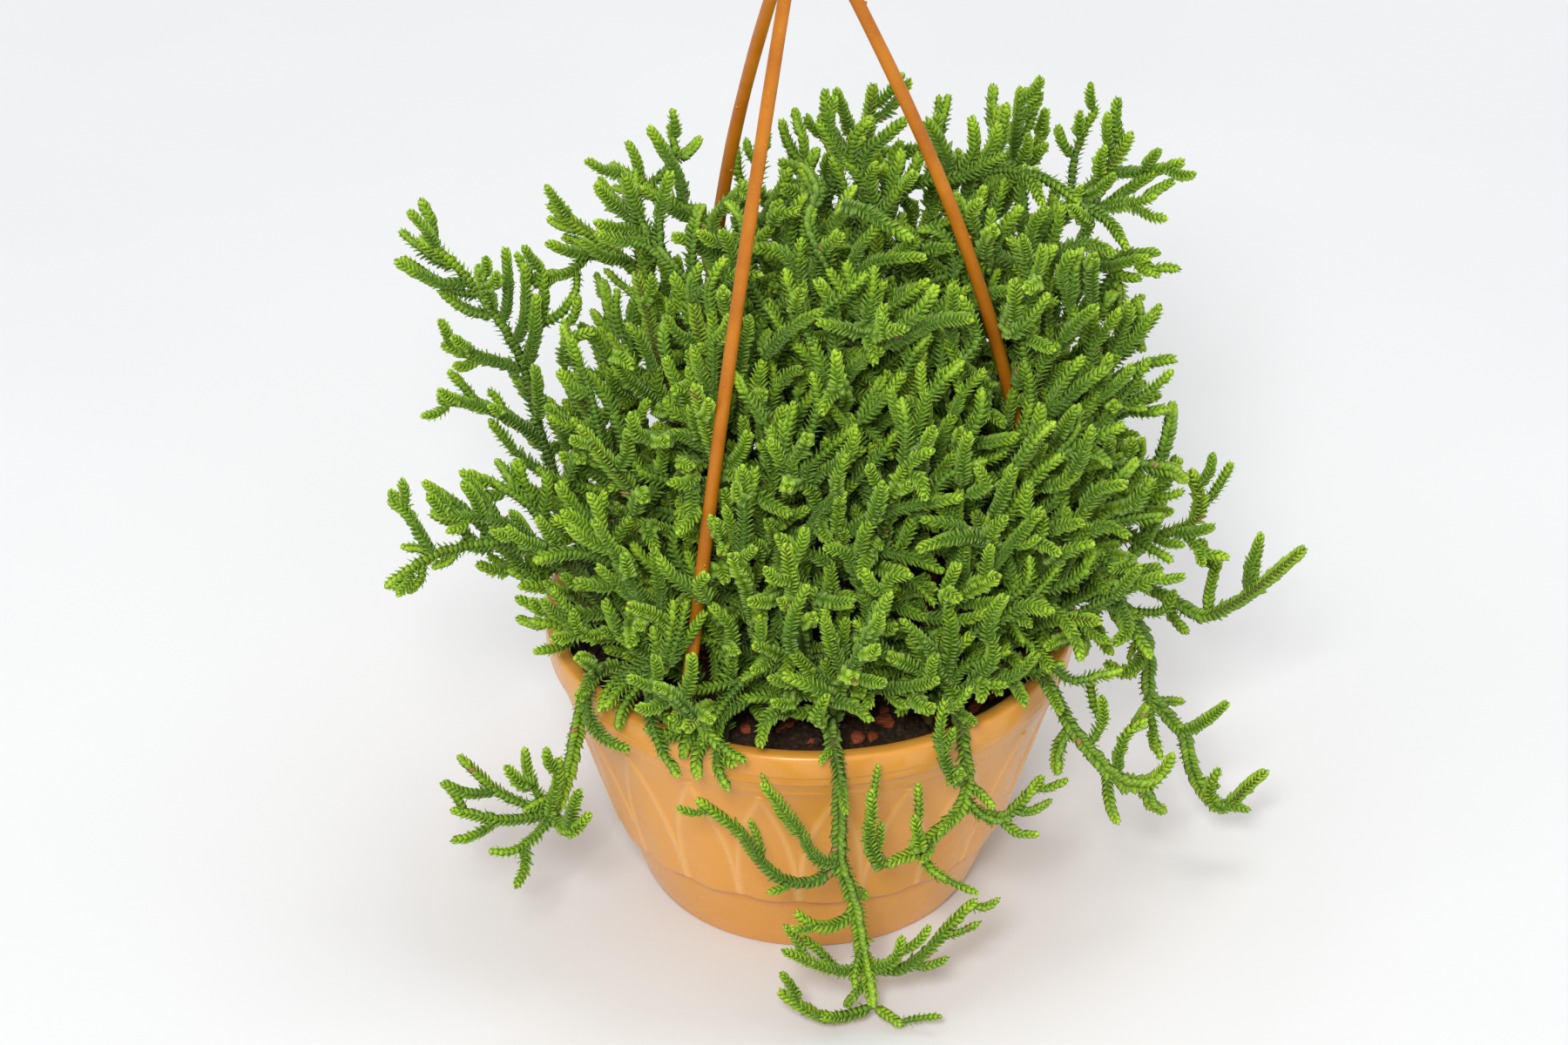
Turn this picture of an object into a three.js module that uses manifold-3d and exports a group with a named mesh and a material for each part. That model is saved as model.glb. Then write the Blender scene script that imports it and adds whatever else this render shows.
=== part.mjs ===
// Potted crassula: a watch-chain crassula in a round plastic hanging pot, standing on its
// base, with the pot's three-legged hanger clipped to its rim.
// Millimetres, +Z up. The origin is the centre of the pot's underside and the front is -Y.
// Azimuths are in degrees from the front, positive towards +X.

import * as THREE from 'three';
import { mergeVertices } from 'three/addons/utils/BufferGeometryUtils.js';
import Module from 'manifold-3d';

const wasm = await Module();
wasm.setup();

// ---- Driving dimensions: pot ----
const potHeight = 114;
const rimRadius = 100;
const rimBandHeight = 13;
const rimWidth = 6;
const rimStep = 3.4;
const footRadius = 62;
const footCorner = 2;
const wall = 2.2;
const wallBulge = 1.6;
const wallRings = 5;
const potSides = 40;
const rimEdge = 1.2;
const drainHoleRadius = 4;
const drainHoleCount = 6;
const drainHoleCircle = 38;
const drainHoleSides = 12;

// ---- Driving dimensions: soil and chips ----
const soilDrop = 14;
const clearance = 0.3;
const chipSizes = [7, 5, 6, 5.5, 4.5, 6.5];
const chipShape = [1, 0.75, 0.55];
const chipTilt = 0.9;
const chipTurn = 1.7;
const chipPlaces = [[-73, 35], [-52, 27], [15, 42], [-8, 37], [112, 30], [-118, 34]];

// ---- Driving dimensions: hanger ----
const legRadius = 2.5;
const legs = {
  hanger_leg_front_left: { azimuth: -31, bow: 4 },
  hanger_leg_right: { azimuth: 89, bow: 14 },
  hanger_leg_back: { azimuth: 209, bow: 17 },
};
const legPoints = 8;
const rodSides = 8;
const legSteps = 10;
const rodOverlap = 2;
const hangerRise = 294;
const hubLean = [-3, -22];
const hubRadius = 9;
const hubHeight = 17;
const hubTopRadius = 4;
const hubSides = 16;
const socketDepth = 7;
const socketSpread = 5.5;
const hookNeck = 14;
const hookRadius = 15;
const hookSweep = 285;
const hookTurnStep = 15;
const hookSteps = 26;
const clipWidth = 11;
const clipDepth = 4;
const clipHeight = 19;
const clipBarb = 2.2;
const lugWidth = 18;
const lugDepth = 11;
const lugHeight = 5;
const lugDrop = 3.5;

// ---- Driving dimensions: stems ----
const stemRadius = 2.6;
const shootRadius = 2.3;
const stemSides = 6;
const shootSides = 5;
const stemSpacing = 1.3;
const surfaceGap = 0.3;
const rootRise = 9;
const stemStep = 18;
const shootStep = 15;
const sampleStep = 3;
const stemTries = 81;
const shootTries = 21;
const turnStep = 1.5;
const liftStep = 0.15;
const shrinkStep = 0.02;
const domeStems = 27;
const domeRadius = 126;
const domeRise = 182;
const domeSpread = 80;
const domeShift = 14;
const domeRootMargin = 17;
const domeShoots = 3;
const domeShootLength = 36;
const domeTries = 60;
const domeTurnStep = 5;
const domeShrinkStep = 0.022;
const domeVeer = 24;
const domeArch = 0.16;
const domeShootFirst = 0.5;
const domeShootSpacing = 0.17;
const domeShootJitter = 0.1;
const domeShootTries = 12;
const domeShootShrinkStep = 0.03;
const shootBend = { along: 0.3, out: 0.34, up: 0.03 };
const shootTip = { along: 0.75, out: 0.6, up: 0.14 };
const goldenAngle = 137.508;

// ---- Values that follow from them ----
const soilLevel = potHeight - soilDrop;
const neckHeight = potHeight - rimBandHeight;
const innerRimRadius = rimRadius - rimWidth;
const soilRadius = wallRadius(soilLevel) - wall - clearance;
const lugTop = potHeight - lugDrop;
const seatRadius = innerRimRadius - lugDepth / 2;
const clipBottom = lugTop - lugHeight - clearance - clipBarb;
const hubBase = potHeight + hangerRise;

const materials = {
  pot: new THREE.MeshStandardMaterial({ color: 0xd98a45, roughness: 0.32, metalness: 0 }),
  hanger: new THREE.MeshStandardMaterial({ color: 0xc86a28, roughness: 0.4, metalness: 0 }),
  soil: new THREE.MeshStandardMaterial({ color: 0x2b2119, roughness: 1, metalness: 0 }),
  chip: new THREE.MeshStandardMaterial({ color: 0x9a4a28, roughness: 0.9, metalness: 0 }),
  stem: new THREE.MeshStandardMaterial({ color: 0x5f8f2c, roughness: 0.6, metalness: 0 }),
};

const group = new THREE.Group();

// ---- Solids ----

// A closed three.js geometry as a solid that can be joined and cut.
function solidOf(geometry) {
  const bare = geometry.index ? geometry.toNonIndexed() : geometry.clone();
  bare.deleteAttribute('normal');
  bare.deleteAttribute('uv');
  const merged = mergeVertices(bare, 1e-4);
  const corners = merged.index.array;
  const triangles = [];
  for (let i = 0; i < corners.length; i += 3) {
    const [a, b, c] = corners.slice(i, i + 3);
    if (a !== b && b !== c && c !== a) {
      triangles.push(a, b, c);
    }
  }
  const mesh = new wasm.Mesh({
    numProp: 3,
    vertProperties: new Float32Array(merged.attributes.position.array),
    triVerts: new Uint32Array(triangles),
  });
  return new wasm.Manifold(mesh);
}

function geometryOf(solid) {
  const mesh = solid.getMesh();
  const geometry = new THREE.BufferGeometry();
  geometry.setAttribute('position', new THREE.BufferAttribute(mesh.vertProperties, 3));
  geometry.setIndex(new THREE.BufferAttribute(mesh.triVerts, 1));
  geometry.computeVertexNormals();
  return geometry;
}

function addNode(name, solid, material) {
  const mesh = new THREE.Mesh(geometryOf(solid), material);
  mesh.name = name;
  group.add(mesh);
}

// A solid of revolution about Z, from [radius, height] points listed round the section.
function turned(profile, sides) {
  const points = profile.map(([radius, height]) => new THREE.Vector2(radius, height));
  return solidOf(new THREE.LatheGeometry(points, sides).rotateX(Math.PI / 2));
}

// A block standing at an azimuth and a radius, its width along the rim and depth along the radius.
function blockAt(azimuth, radius, bottom, width, depth, height) {
  const block = new THREE.BoxGeometry(width, depth, height);
  block.translate(0, -radius, bottom + height / 2);
  block.rotateZ(THREE.MathUtils.degToRad(azimuth));
  return solidOf(block);
}

function smoothPath(points) {
  return new THREE.CatmullRomCurve3(points, false, 'catmullrom', 0.5);
}

// A closed tube along a smooth path through the points.
function tube(points, radius, sides, steps) {
  const section = [];
  for (let i = 0; i < sides; i += 1) {
    const angle = (2 * Math.PI * i) / sides;
    section.push(new THREE.Vector2(radius * Math.cos(angle), radius * Math.sin(angle)));
  }
  const settings = { steps, bevelEnabled: false, extrudePath: smoothPath(points) };
  return solidOf(new THREE.ExtrudeGeometry(new THREE.Shape(section), settings));
}

// A point from its azimuth, its distance from the pot's axis and its height.
function around(azimuth, radius, height) {
  const angle = THREE.MathUtils.degToRad(azimuth);
  return new THREE.Vector3(radius * Math.sin(angle), -radius * Math.cos(angle), height);
}

// ---- Pot ----

// Outer radius of the pot's wall at a height, from the foot up to the rim band.
function wallRadius(height) {
  const share = Math.min(Math.max(height / (potHeight - rimBandHeight), 0), 1);
  const neckRadius = rimRadius - rimStep;
  const straight = footRadius + (neckRadius - footRadius) * share;
  return straight + wallBulge * Math.sin(Math.PI * share);
}

function potProfile() {
  const profile = [[0, 0], [footRadius - footCorner, 0]];
  for (let i = 0; i <= wallRings; i += 1) {
    const height = footCorner + ((neckHeight - footCorner) * i) / wallRings;
    profile.push([wallRadius(height), height]);
  }
  profile.push([rimRadius - rimEdge, neckHeight]);
  profile.push([rimRadius, potHeight - rimEdge]);
  profile.push([rimRadius - rimEdge, potHeight]);
  profile.push([innerRimRadius, potHeight]);
  for (let i = wallRings; i >= 0; i -= 1) {
    const height = wall + ((neckHeight - wall) * i) / wallRings;
    profile.push([wallRadius(height) - wall, height]);
  }
  profile.push([0, wall]);
  return profile;
}

function addPot() {
  let pot = turned(potProfile(), potSides);
  for (const { azimuth } of Object.values(legs)) {
    const reachIn = rimRadius - rimWidth / 2 - (innerRimRadius - lugDepth);
    const lugMiddle = innerRimRadius - lugDepth + reachIn / 2;
    const lug = blockAt(azimuth, lugMiddle, lugTop - lugHeight, lugWidth, reachIn, lugHeight);
    const slotWidth = clipWidth + 2 * clearance;
    const slotDepth = clipDepth + 2 * clearance;
    const slot = blockAt(azimuth, seatRadius, lugTop - 2 * lugHeight, slotWidth, slotDepth,
      3 * lugHeight);
    pot = pot.add(lug).subtract(slot);
  }
  for (let i = 0; i < drainHoleCount; i += 1) {
    const place = around((360 * i) / drainHoleCount, drainHoleCircle, 0);
    const drill = new THREE.CylinderGeometry(drainHoleRadius, drainHoleRadius, 4 * wall,
      drainHoleSides);
    drill.rotateX(Math.PI / 2).translate(place.x, place.y, 0);
    pot = pot.subtract(solidOf(drill));
  }
  addNode('pot', pot, materials.pot);
}

// ---- Soil ----

function addSoil() {
  const floor = wall + clearance;
  const profile = [[0, floor]];
  for (let i = 0; i <= wallRings; i += 1) {
    const height = floor + ((soilLevel - floor) * i) / wallRings;
    profile.push([wallRadius(height) - wall - clearance, height]);
  }
  profile.push([0, soilLevel]);
  addNode('soil', turned(profile, potSides), materials.soil);
}

// Flattened, tilted lumps of bark lying on the soil.
function addChips() {
  chipPlaces.forEach(([azimuth, inset], i) => {
    const size = chipSizes[i];
    const lump = new THREE.DodecahedronGeometry(size, 0);
    lump.rotateX(chipTilt * i).rotateZ(chipTurn * i).scale(...chipShape);
    lump.computeBoundingBox();
    const place = around(azimuth, soilRadius - inset, soilLevel + clearance - lump.boundingBox.min.z);
    lump.translate(place.x, place.y, place.z);
    addNode(`bark_chip_${i + 1}`, solidOf(lump), materials.chip);
  });
}

// ---- Hanger ----

// The middle line of a leg: from its clip at the rim, bowed outwards, up into the leaning hub.
function legRoute({ azimuth, bow }) {
  const low = around(azimuth, seatRadius, clipBottom + clipHeight - rodOverlap);
  const high = around(azimuth, socketSpread, hubBase + socketDepth);
  high.x += hubLean[0];
  high.y += hubLean[1];
  const route = [];
  for (let i = 0; i <= legPoints; i += 1) {
    const share = i / legPoints;
    const outwards = around(azimuth, bow * Math.sin(Math.PI * share), 0);
    route.push(low.clone().lerp(high, share).add(outwards));
  }
  return route;
}

function addLegs() {
  for (const [name, leg] of Object.entries(legs)) {
    const plate = blockAt(leg.azimuth, seatRadius, clipBottom, clipWidth, clipDepth, clipHeight);
    const barbDepth = clipDepth + 2 * clipBarb;
    const barb = blockAt(leg.azimuth, seatRadius, clipBottom, clipWidth, barbDepth, clipBarb);
    const rod = tube(legRoute(leg), legRadius, rodSides, legSteps);
    addNode(name, rod.add(plate).add(barb), materials.hanger);
  }
}

// The hub that takes the three legs, with the open hook that rises from it.
function addHook() {
  const hub = turned([[0, hubBase], [hubRadius, hubBase], [hubRadius, hubBase + hubHeight / 2],
    [hubTopRadius, hubBase + hubHeight], [0, hubBase + hubHeight]], hubSides);
  const ringBase = hubBase + hubHeight + hookNeck;
  const hookPoints = [new THREE.Vector3(0, 0, hubBase + hubHeight / 2),
    new THREE.Vector3(0, 0, hubBase + hubHeight)];
  for (let turn = 0; turn <= hookSweep; turn += hookTurnStep) {
    const angle = THREE.MathUtils.degToRad(turn);
    const height = ringBase + hookRadius * (1 - Math.cos(angle));
    hookPoints.push(new THREE.Vector3(hookRadius * Math.sin(angle), 0, height));
  }
  const bar = tube(hookPoints, legRadius, rodSides, hookSteps);
  let hook = hub.add(bar).translate(hubLean[0], hubLean[1], 0);
  for (const leg of Object.values(legs)) {
    const route = legRoute(leg);
    const end = route.at(-1);
    const onwards = end.clone().sub(route.at(-2)).setLength(2 * clearance);
    const bored = [...route, end.clone().add(onwards)];
    hook = hook.subtract(tube(bored, legRadius + clearance, rodSides, legSteps));
  }
  addNode('hanger_hook', hook, materials.hanger);
}

// ---- Stems ----

// Named stems, each with its main route and its side shoots. A point is [azimuth, distance
// outside the rim, height above the rim]; a negative distance lies inside the pot's mouth. A
// side shoot starts at the point of the main route with the number in `at`, counted from 0.
const namedStems = {
  stem_front_trail: {
    root: [5, -24],
    route: [[5, -10, 4], [5, 1, 4.6], [6, 7, -8], [6, 8, -41], [9, 10, -62], [11, 12, -88],
      [12, 14, -104]],
    shoots: [
      { at: 3, route: [[0, 8, -50], [-8, 8, -46], [-14, 8, -28], [-23, 8, -18]] },
      { at: 3, route: [[2, 13, -36], [-4, 12, -18], [-9, 12, -3]] },
      { at: 4, route: [[3, 14, -66], [-3, 12, -60]] },
      { at: 5, route: [[4, 16, -84], [-5, 20, -72]] },
      { at: 6, route: [[4, 15, -108], [-6, 13, -96]] },
      { at: 5, route: [[15, 18, -82], [17, 18, -70]] },
      { at: 5, route: [[18, 14, -88], [26, 16, -74], [33, 14, -66]] },
      { at: 6, route: [[17, 20, -111]] },
    ],
  },
  stem_front_right_trail: {
    root: [38, -28],
    route: [[36, -12, 7], [33, 1, 5.2], [32, 8, -8], [31, 10, -22], [26, 9, -33],
      [21, 9, -39], [14.5, 11, -42]],
    shoots: [
      { at: 3, route: [[37, 13, -34], [43, 13, -32], [50, 13, -26]] },
      { at: 2, route: [[27, 16, -6], [24, 16, 12], [26, 12, 28]] },
      { at: 5, route: [[20, 17, -30], [19, 16, -18]] },
      { at: 5, route: [[23, 14, -46], [27, 14, -54]] },
      { at: 6, route: [[11, 17, -30], [11, 16, -4]] },
    ],
  },
  stem_left_spray: {
    root: [-58, -26],
    route: [[-57, -10, 5], [-54, 1, 4.8], [-53, 8, -14], [-54, 12, -36], [-55, 16, -49]],
    shoots: [
      { at: 4, route: [[-62, 30, -44], [-70, 40, -35]] },
      { at: 4, route: [[-60, 33, -52], [-65, 48, -50]] },
      { at: 4, route: [[-54, 33, -56], [-56, 44, -56]] },
      { at: 4, route: [[-58, 22, -36], [-60, 22, -22]] },
      { at: 4, route: [[-52, 20, -38], [-53, 16, -20]] },
      { at: 4, route: [[-47, 22, -46], [-43, 18, -34]] },
    ],
  },
  stem_right_trail: {
    root: [82, -26],
    route: [[84, -12, 10], [87, 6, 12], [89, 18, 2], [90, 27, -17], [90, 28, -37], [90, 41, -55],
      [90, 47, -76], [89, 58, -88], [89, 74, -70]],
    shoots: [
      { at: 3, route: [[83, 20, -18], [80, 12, -10]] },
      { at: 4, route: [[85, 30, -44], [82, 34, -56]] },
      { at: 5, route: [[87, 50, -44], [85, 58, -32]] },
      { at: 7, route: [[86, 52, -76], [86, 56, -64]] },
    ],
  },
  stem_right_low: {
    root: [60, -24],
    route: [[59, -10, 6], [57, 3, 5], [56, 13, -6], [59, 20, -22], [64, 27, -39],
      [71, 36, -50], [74, 42, -40]],
    shoots: [
      { at: 3, route: [[61, 24, -12], [60, 24, 2]] },
      { at: 4, route: [[66, 28, -24], [70, 34, -20]] },
    ],
  },
  stem_far_right: {
    root: [104, -24],
    route: [[103, -10, 9], [101, 4, 9], [100, 20, 0], [98, 37, -9], [98, 52, -18],
      [97, 69, -7], [96, 88, 14]],
    shoots: [
      { at: 4, route: [[101, 56, -8], [101, 58, 2]] },
      { at: 5, route: [[100, 72, 4], [101, 74, 12]] },
    ],
  },
  stem_right_fork: {
    root: [94, -40],
    route: [[95, -20, 18], [97, 4, 22], [98, 26, 20], [98, 42, 22], [97, 47, 34], [97, 43, 50]],
    shoots: [
      { at: 3, route: [[93, 48, 20], [92, 58, 18]] },
      { at: 2, route: [[103, 34, 30], [104, 38, 40]] },
    ],
  },
  stem_tall_right: {
    root: [128, -46],
    route: [[127, -38, 33], [126, -15, 75], [125, 1, 112], [122, 13, 138], [118, 24, 155],
      [116, 32, 172]],
    shoots: [
      { at: 2, route: [[133, 6, 146], [134, 6, 164], [134, 8, 182]] },
      { at: 3, route: [[126, 22, 158], [125, 30, 174]] },
      { at: 4, route: [[112, 36, 160], [109, 46, 166]] },
      { at: 3, route: [[112, 22, 148], [107, 33, 156]] },
    ],
  },
  stem_right_upper: {
    root: [86, -52],
    route: [[92, -34, 40], [98, -24, 72], [106, -10, 108], [107, 4, 132], [105, 15, 134],
      [104, 17, 116],
      [104, 18, 100]],
    shoots: [
      { at: 4, route: [[102, 22, 138], [99, 30, 132]] },
      { at: 2, route: [[96, -2, 116], [94, 6, 124]] },
    ],
  },
  stem_top_right: {
    root: [152, -58],
    route: [[148, -36, 40], [144, -22, 69], [144, 5, 105], [146, 18, 130], [146, 28, 156]],
    shoots: [
      { at: 2, route: [[152, 2, 132], [154, 8, 158]] },
      { at: 3, route: [[139, 22, 140], [137, 30, 154]] },
    ],
  },
  stem_top_centre: {
    root: [178, -56],
    route: [[176, -44, 40], [172, -30, 72], [169, -6, 109], [168, 0, 141], [167, 3, 169]],
    shoots: [
      { at: 2, route: [[180, -12, 128], [182, -6, 152]] },
      { at: 3, route: [[175, 4, 134], [177, 6, 150]] },
    ],
  },
  stem_top_left_high: {
    root: [-170, -62],
    route: [[-168, -48, 44], [-166, -30, 78], [-160, -14, 108], [-153, 0, 120],
      [-147, 14, 126], [-143, 27, 133]],
    shoots: [
      { at: 2, route: [[-168, -4, 128], [-169, 0, 146]] },
      { at: 4, route: [[-154, 18, 132], [-155, 28, 142]] },
    ],
  },
  stem_top_left: {
    root: [-140, -60],
    route: [[-142, -44, 48], [-140, -30, 82], [-135, -10, 106], [-131, 6, 118], [-127, 24, 132]],
    shoots: [
      { at: 2, route: [[-139, 0, 124], [-138, 2, 138]] },
      { at: 3, route: [[-124, 8, 110], [-119, 14, 112]] },
    ],
  },
  stem_left_tall: {
    root: [-84, -30],
    route: [[-88, -12, 36], [-95, 0, 68], [-100, 8, 92], [-104, 22, 112], [-105, 37, 128],
      [-106, 52, 136]],
    shoots: [
      { at: 3, route: [[-100, 22, 128], [-99, 24, 138]] },
      { at: 2, route: [[-95, 25, 104], [-92, 36, 112]] },
      { at: 1, route: [[-89, 18, 88], [-86, 38, 98]] },
      { at: 2, route: [[-108, 4, 114], [-111, 8, 128]] },
    ],
  },
  stem_left_arm: {
    root: [-76, -36],
    route: [[-78, -16, 22], [-81, 0, 44], [-83, 20, 53], [-84, 46, 52], [-83, 66, 44]],
    shoots: [
      { at: 1, route: [[-77, 24, 68], [-75, 48, 78]] },
      { at: 1, route: [[-87, 10, 60], [-91, 28, 68]] },
      { at: 3, route: [[-86, 54, 66], [-86, 62, 74]] },
    ],
  },
  stem_left_low: {
    root: [-66, -44],
    route: [[-68, -24, 10], [-71, -6, 17], [-75, 14, 24]],
    shoots: [
      { at: 1, route: [[-64, 2, 28], [-62, 6, 40]] },
    ],
  },
  stem_front_crown: {
    root: [0, -58],
    route: [[-1, -42, 18], [-2, -22, 44], [-4, -8, 70], [-5, -2, 92]],
    shoots: [
      { at: 0, route: [[-8, -22, 30], [-12, -4, 46]] },
      { at: 0, route: [[10, -22, 34], [15, -6, 56], [16, 0, 76]] },
      { at: 0, route: [[12, -20, 18], [20, -2, 26], [24, 14, 38]] },
    ],
  },
};

// Room that is already taken: the middle lines of the legs and of the shoots placed so far.
const taken = [];

// Points along a smooth path, about a sample step apart.
function sampled(points) {
  let span = 0;
  for (let i = 1; i < points.length; i += 1) {
    span += points[i].distanceTo(points[i - 1]);
  }
  return smoothPath(points).getPoints(Math.ceil(span / sampleStep));
}

function keepClearOf(owner, points, radius) {
  for (const point of sampled(points)) {
    taken.push({ owner, point, radius });
  }
}

// True where a shoot of this radius misses the pot's wall and rim, the soil and the surface.
function missesPot(point, radius) {
  const away = radius + surfaceGap / 2;
  const reach = Math.hypot(point.x, point.y);
  if (point.z > potHeight + away) {
    return true;
  }
  if (reach < innerRimRadius - away && point.z > soilLevel) {
    return true;
  }
  const outside = point.z > neckHeight - away ? rimRadius : wallRadius(point.z + away);
  return reach > outside + away && point.z > radius;
}

function isClear(owner, points, radius) {
  for (const point of sampled(points)) {
    if (!missesPot(point, radius)) {
      return false;
    }
    for (const other of taken) {
      const room = radius + other.radius + stemSpacing;
      if (other.owner !== owner && point.distanceTo(other.point) < room) {
        return false;
      }
    }
  }
  return true;
}

// A point given from the rim, kept above the surface that the pot stands on.
function fromRim([azimuth, outside, rise]) {
  const lowest = stemRadius + surfaceGap;
  return around(azimuth, rimRadius + outside, Math.max(potHeight + rise, lowest));
}

// A number between 0 and 1, spread evenly over the stems and different for each use.
function spread(stem, use) {
  const value = 0.618034 * stem + 0.754878 * use;
  return value - Math.floor(value);
}

// The two points that every stem starts with: on the soil, and straight above it.
function rooted(azimuth, radius) {
  const foot = around(azimuth, radius, soilLevel + clearance);
  return [foot, foot.clone().setZ(foot.z + rootRise)];
}

// The first version of a route that is clear of everything placed before.
function firstClear(owner, radius, versions, makeRoute) {
  for (let version = 0; version < versions; version += 1) {
    const route = makeRoute(version);
    if (isClear(owner, route, radius)) {
      return route;
    }
  }
  return null;
}

// 0, +1, -1, +2, -2 and so on.
function swing(version) {
  return Math.ceil(version / 2) * (version % 2 ? 1 : -1);
}

// A named stem as given, or turned about the pot and lifted until it is clear.
function placeNamedStem(name, stem) {
  const route = firstClear(name, stemRadius, stemTries, (version) => {
    const turn = swing(version) * turnStep;
    const lift = version * liftStep;
    const points = stem.route.map(([azimuth, outside, rise]) => (
      fromRim([azimuth + turn, outside, rise + lift])));
    return [...rooted(stem.root[0] + turn, rimRadius + stem.root[1]), ...points];
  });
  if (!route) {
    throw new Error(`no room for ${name}`);
  }
  keepClearOf(name, route, stemRadius);
  const shoots = [];
  for (const side of stem.shoots) {
    const start = route[side.at + 2];
    const nominal = fromRim(stem.route[side.at]);
    const shoot = firstClear(name, shootRadius, shootTries, (version) => {
      const turn = swing(version) * turnStep;
      const shorter = 1 - shrinkStep * version;
      return [start, ...side.route.map(([azimuth, outside, rise]) => {
        const tip = fromRim([azimuth + turn, outside, rise]);
        return tip.sub(nominal).multiplyScalar(shorter).add(start);
      })];
    });
    if (shoot) {
      keepClearOf(name, shoot, shootRadius);
      shoots.push(shoot);
    }
  }
  return { name, route, shoots };
}

// One stem of the dome: from its root, up and then out to the dome's surface.
function domeRoute(index, version) {
  const share = Math.sqrt((index + 0.5) / domeStems);
  const azimuth = index * goldenAngle + swing(version) * domeTurnStep;
  const lean = THREE.MathUtils.degToRad(domeSpread * share * (0.9 + 0.2 * spread(index, 1)));
  const size = (0.88 + 0.16 * spread(index, 2)) * (1 - domeShrinkStep * (version % 40));
  const foot = rooted(azimuth, (soilRadius - domeRootMargin) * share);
  const veer = azimuth + domeVeer * (spread(index, 3) - 0.5);
  const height = potHeight + size * domeRise * Math.cos(lean);
  const tip = around(veer, size * domeRadius * Math.sin(lean), height);
  tip.x += domeShift * share;
  const middle = foot[1].clone().lerp(tip, 0.5);
  middle.z += domeArch * foot[1].distanceTo(tip) * Math.sin(lean);
  return [...foot, middle, tip];
}

// A side shoot that leaves a route at a share of its length, outwards and a little upwards.
function sideShoot(route, share, turn, length) {
  const path = smoothPath(route);
  const start = path.getPoint(share);
  const along = path.getPoint(share + 0.02).sub(path.getPoint(share - 0.02)).normalize();
  const level = new THREE.Vector3(along.y, -along.x, 0.001).normalize();
  const rise = level.clone().cross(along).normalize();
  const angle = THREE.MathUtils.degToRad(turn);
  const out = level.multiplyScalar(Math.cos(angle)).add(rise.multiplyScalar(Math.sin(angle)));
  const reached = [shootBend, shootTip].map((part) => {
    const point = start.clone().addScaledVector(along, part.along * length);
    point.addScaledVector(out, part.out * length);
    return point.setZ(point.z + part.up * length);
  });
  return [start, ...reached];
}

function placeDomeStem(index) {
  const name = `stem_dome_${String(index + 1).padStart(2, '0')}`;
  const route = firstClear(name, stemRadius, domeTries, (version) => domeRoute(index, version));
  if (!route) {
    throw new Error(`no room for ${name}`);
  }
  keepClearOf(name, route, stemRadius);
  const shoots = [];
  for (let i = 0; i < domeShoots; i += 1) {
    const jitter = domeShootJitter * (spread(index, 4 + i) - 0.5);
    const share = domeShootFirst + domeShootSpacing * i + jitter;
    const length = domeShootLength * (0.8 + 0.4 * spread(index, 7 + i));
    const shoot = firstClear(name, shootRadius, domeShootTries, (version) => {
      const turn = (index + domeShoots * i + version) * goldenAngle;
      return sideShoot(route, share, turn, length * (1 - domeShootShrinkStep * version));
    });
    if (shoot) {
      keepClearOf(name, shoot, shootRadius);
      shoots.push(shoot);
    }
  }
  return { name, route, shoots };
}

function spanOf(points) {
  return points.slice(1).reduce((sum, point, i) => sum + point.distanceTo(points[i]), 0);
}

function nearestOf(points, target) {
  return points.reduce((best, point) => (
    point.distanceTo(target) < best.distanceTo(target) ? point : best));
}

// A stem with its side shoots, each joined to it at the nearest corner of the stem's tube.
function addStem({ name, route, shoots }) {
  const stemSteps = Math.ceil(spanOf(route) / stemStep);
  const corners = smoothPath(route).getSpacedPoints(stemSteps);
  let stem = tube(route, stemRadius, stemSides, stemSteps);
  for (const [start, ...rest] of shoots) {
    const joined = [nearestOf(corners, start), ...rest];
    const steps = Math.max(2, Math.ceil(spanOf(joined) / shootStep));
    stem = stem.add(tube(joined, shootRadius, shootSides, steps));
  }
  addNode(name, stem, materials.stem);
}

function addStems() {
  for (const [name, leg] of Object.entries(legs)) {
    const route = legRoute(leg);
    keepClearOf(name, route, legRadius);
    keepClearOf(name, [around(leg.azimuth, seatRadius, clipBottom), route[0]], clipWidth / 2);
  }
  chipPlaces.forEach(([azimuth, inset], i) => {
    const place = around(azimuth, soilRadius - inset, soilLevel);
    const above = place.clone().setZ(soilLevel + chipSizes[i]);
    keepClearOf(`bark_chip_${i + 1}`, [place, above], chipSizes[i]);
  });
  for (const [name, stem] of Object.entries(namedStems)) {
    addStem(placeNamedStem(name, stem));
  }
  for (let index = 0; index < domeStems; index += 1) {
    addStem(placeDomeStem(index));
  }
}

addPot();
addSoil();
addChips();
addLegs();
addHook();
addStems();

export default group;
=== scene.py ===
import math

import bmesh
import bpy
import numpy as np
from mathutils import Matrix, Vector, noise


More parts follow.
